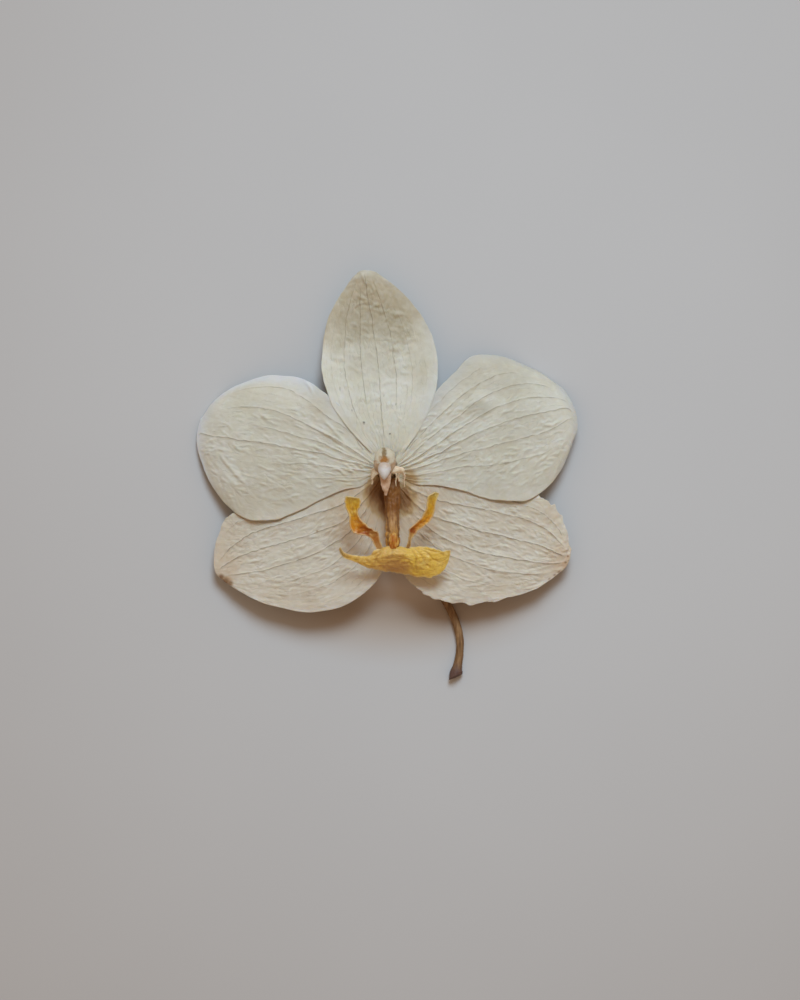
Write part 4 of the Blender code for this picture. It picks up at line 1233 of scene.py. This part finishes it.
def make_lip():
    """The claw, the midlobe, the two side lobes and the callus."""
    claw = blade("lip_claw", CLAW, LOBE_CELLS, CLAW_VEINS, STILL, CLAW_RELIEF, CLAW_THICKNESS, 11)
    dress(claw, "lip", claw_material())
    # The midlobe's fold tone is painted shade on its keel, which turns down away from the lamp
    yellow = lip_material("midlobe_skin", MIDLOBE_SHADES, (2.2, -18.4, 10.3), (3.5, 1.8, 3.0))
    midlobe = blade("lip_midlobe", MIDLOBE, LOBE_CELLS, LOBE_VEINS, STILL, LOBE_RELIEF, LIP_TISSUE, 12,
                    CREASES["midlobe"])
    dress(midlobe, "lip", yellow)
    for name, ribs, fold_at, seed in (
        ("lip_side_lobe_left", SIDE_LOBE_LEFT, (-2.7, -11.7, 12.5), 13),
        ("lip_side_lobe_right", SIDE_LOBE_RIGHT, (5.0, -12.3, 12.3), 14),
    ):
        orange = lip_material(name + "_skin", SIDE_LOBE_SHADES, fold_at, (0.9, 0.9, 1.2))
        lobe = blade(name, ribs, LOBE_CELLS, LOBE_VEINS, STILL, LOBE_RELIEF, LIP_TISSUE, seed)
        dress(lobe, "lip", orange)
    dress(drawn_ball("lip_callus", 56, 40, callus_shape), "lip", callus_material())


def make_column():
    """The column's body, its beak, wings and torn strands, and the anther cap."""
    body = drawn_ball("column_body", 80, 90, level_rings(COLUMN_RINGS, 0.12, 0.0, 3.0))
    dress(body, "column", column_material())
    beak_tissue = plain_tissue("beak_skin", (0.70, 0.50, 0.36), (0.58, 0.38, 0.24), 1.0, 0.5, 0.06)[0]
    beak = blade("column_beak", BEAK, WING_CELLS, CLAW_VEINS, STILL, BEAK_RELIEF, LIP_TISSUE, 15)
    dress(beak, "column", beak_tissue)
    wing_tissue = plain_tissue("wing_skin", (0.84, 0.71, 0.54), (0.70, 0.54, 0.36), 1.0, 0.55, 0.06)[0]
    for name, ribs, seed in (("column_wing_left", WING_LEFT, 16), ("column_wing_right", WING_RIGHT, 17)):
        wing = blade(name, ribs, WING_CELLS, LOBE_VEINS, STILL, LOBE_RELIEF, WING_TISSUE, seed)
        dress(wing, "column", wing_tissue)
    for k, path in enumerate(STRANDS):
        shape = stalk_shape(path, STRAND_RADII[:len(path)], 3, 0.0, 20.0 + k)
        dress(drawn_ball(f"column_strand_{k + 1}", 12, 60, shape), "column", wing_tissue)
    cap = drawn_ball("anther_hood", 64, 48, level_rings(ANTHER_RINGS, 0.05, 0.36, 9.0))
    dress(cap, "anther_cap", anther_material())


def make_pedicel():
    """The stalk, from the widened top under the flower to its cut end."""
    stalk = drawn_ball("pedicel_stem", 36, 260, stalk_shape(PEDICEL_PATH, PEDICEL_RADII, 9, -0.55, 5.0))
    dress(stalk, "pedicel", stalk_material())


def make_surface():
    """The plain pale surface, with a painted warm shadow under the flower and a painted paler patch at its
    middle, as if light came through the petals.
    """
    bpy.ops.object.select_all(action="DESELECT")
    bpy.ops.mesh.primitive_plane_add(size=3.0, location=(0.0, 0.0, 0.0))
    floor = bpy.context.active_object
    floor.name = "surface"
    material, tree, shader = new_material("pale_surface", 0.6, 0.2)
    clouds = patches_of(tree, 60.0, 2.0)
    colour = tint(ramp(clouds, 0.3, 0.7), (0.56, 0.567, 0.582), (0.57, 0.577, 0.592))
    # Painted shadow: a warm brown ring under the flower; painted light: a paler middle, as if lit through the
    # petals
    under = distance_from(tree, (3.0, -19.0, 0.0), (37.0, 20.0, 10.0))
    colour = tint(ramp(under, 0.45, 1.05, 0.95, 0.0), colour, SHADED_BROWN)
    colour = tint(ramp(under, 0.15, 0.5, 0.9, 0.0), colour, LIT_THROUGH)
    finish_skin(shader, colour)
    floor.data.materials.append(material)


def light_the_room():
    """One soft cool lamp beyond the flower's top, and a warmer even fill."""
    lamp = bpy.data.objects.new("lamp", bpy.data.lights.new("lamp", "AREA"))
    lamp.data.shape = "SQUARE"
    lamp.data.size = 0.36
    lamp.data.spread = 0.62
    lamp.data.energy = 0.32
    lamp.data.color = (0.67, 0.85, 0.98)
    lamp.location = (0.078, 0.41, 0.465)
    bpy.context.scene.collection.objects.link(lamp)
    towards = Vector((0.025, 0.045, 0.0)) - lamp.location
    lamp.rotation_euler = towards.to_track_quat("-Z", "Y").to_euler()
    world = bpy.data.worlds.new("room")
    world.use_nodes = True
    world.node_tree.nodes["Background"].inputs["Color"].default_value = (1.0, 0.70, 0.47, 1.0)
    world.node_tree.nodes["Background"].inputs["Strength"].default_value = 0.40
    bpy.context.scene.world = world
    bpy.context.scene.view_settings.view_transform = "Standard"


def place_camera():
    """Look straight down: the picture is 160 mm wide and 200 mm tall at the flower's height."""
    picture_height = 0.200
    picture_centre = (0.0027, -0.0051)
    distance = 0.70
    flower_height = 0.006
    sensor = 0.036
    camera = bpy.data.objects.new("camera", bpy.data.cameras.new("camera"))
    camera.data.sensor_fit = "AUTO"
    camera.data.sensor_width = sensor * 1000
    camera.data.lens = sensor * 1000 * distance / picture_height
    camera.location = (*picture_centre, flower_height + distance)
    bpy.context.scene.collection.objects.link(camera)
    bpy.context.scene.camera = camera


make_tepals()
make_lip()
make_column()
make_pedicel()
make_surface()
light_the_room()
place_camera()
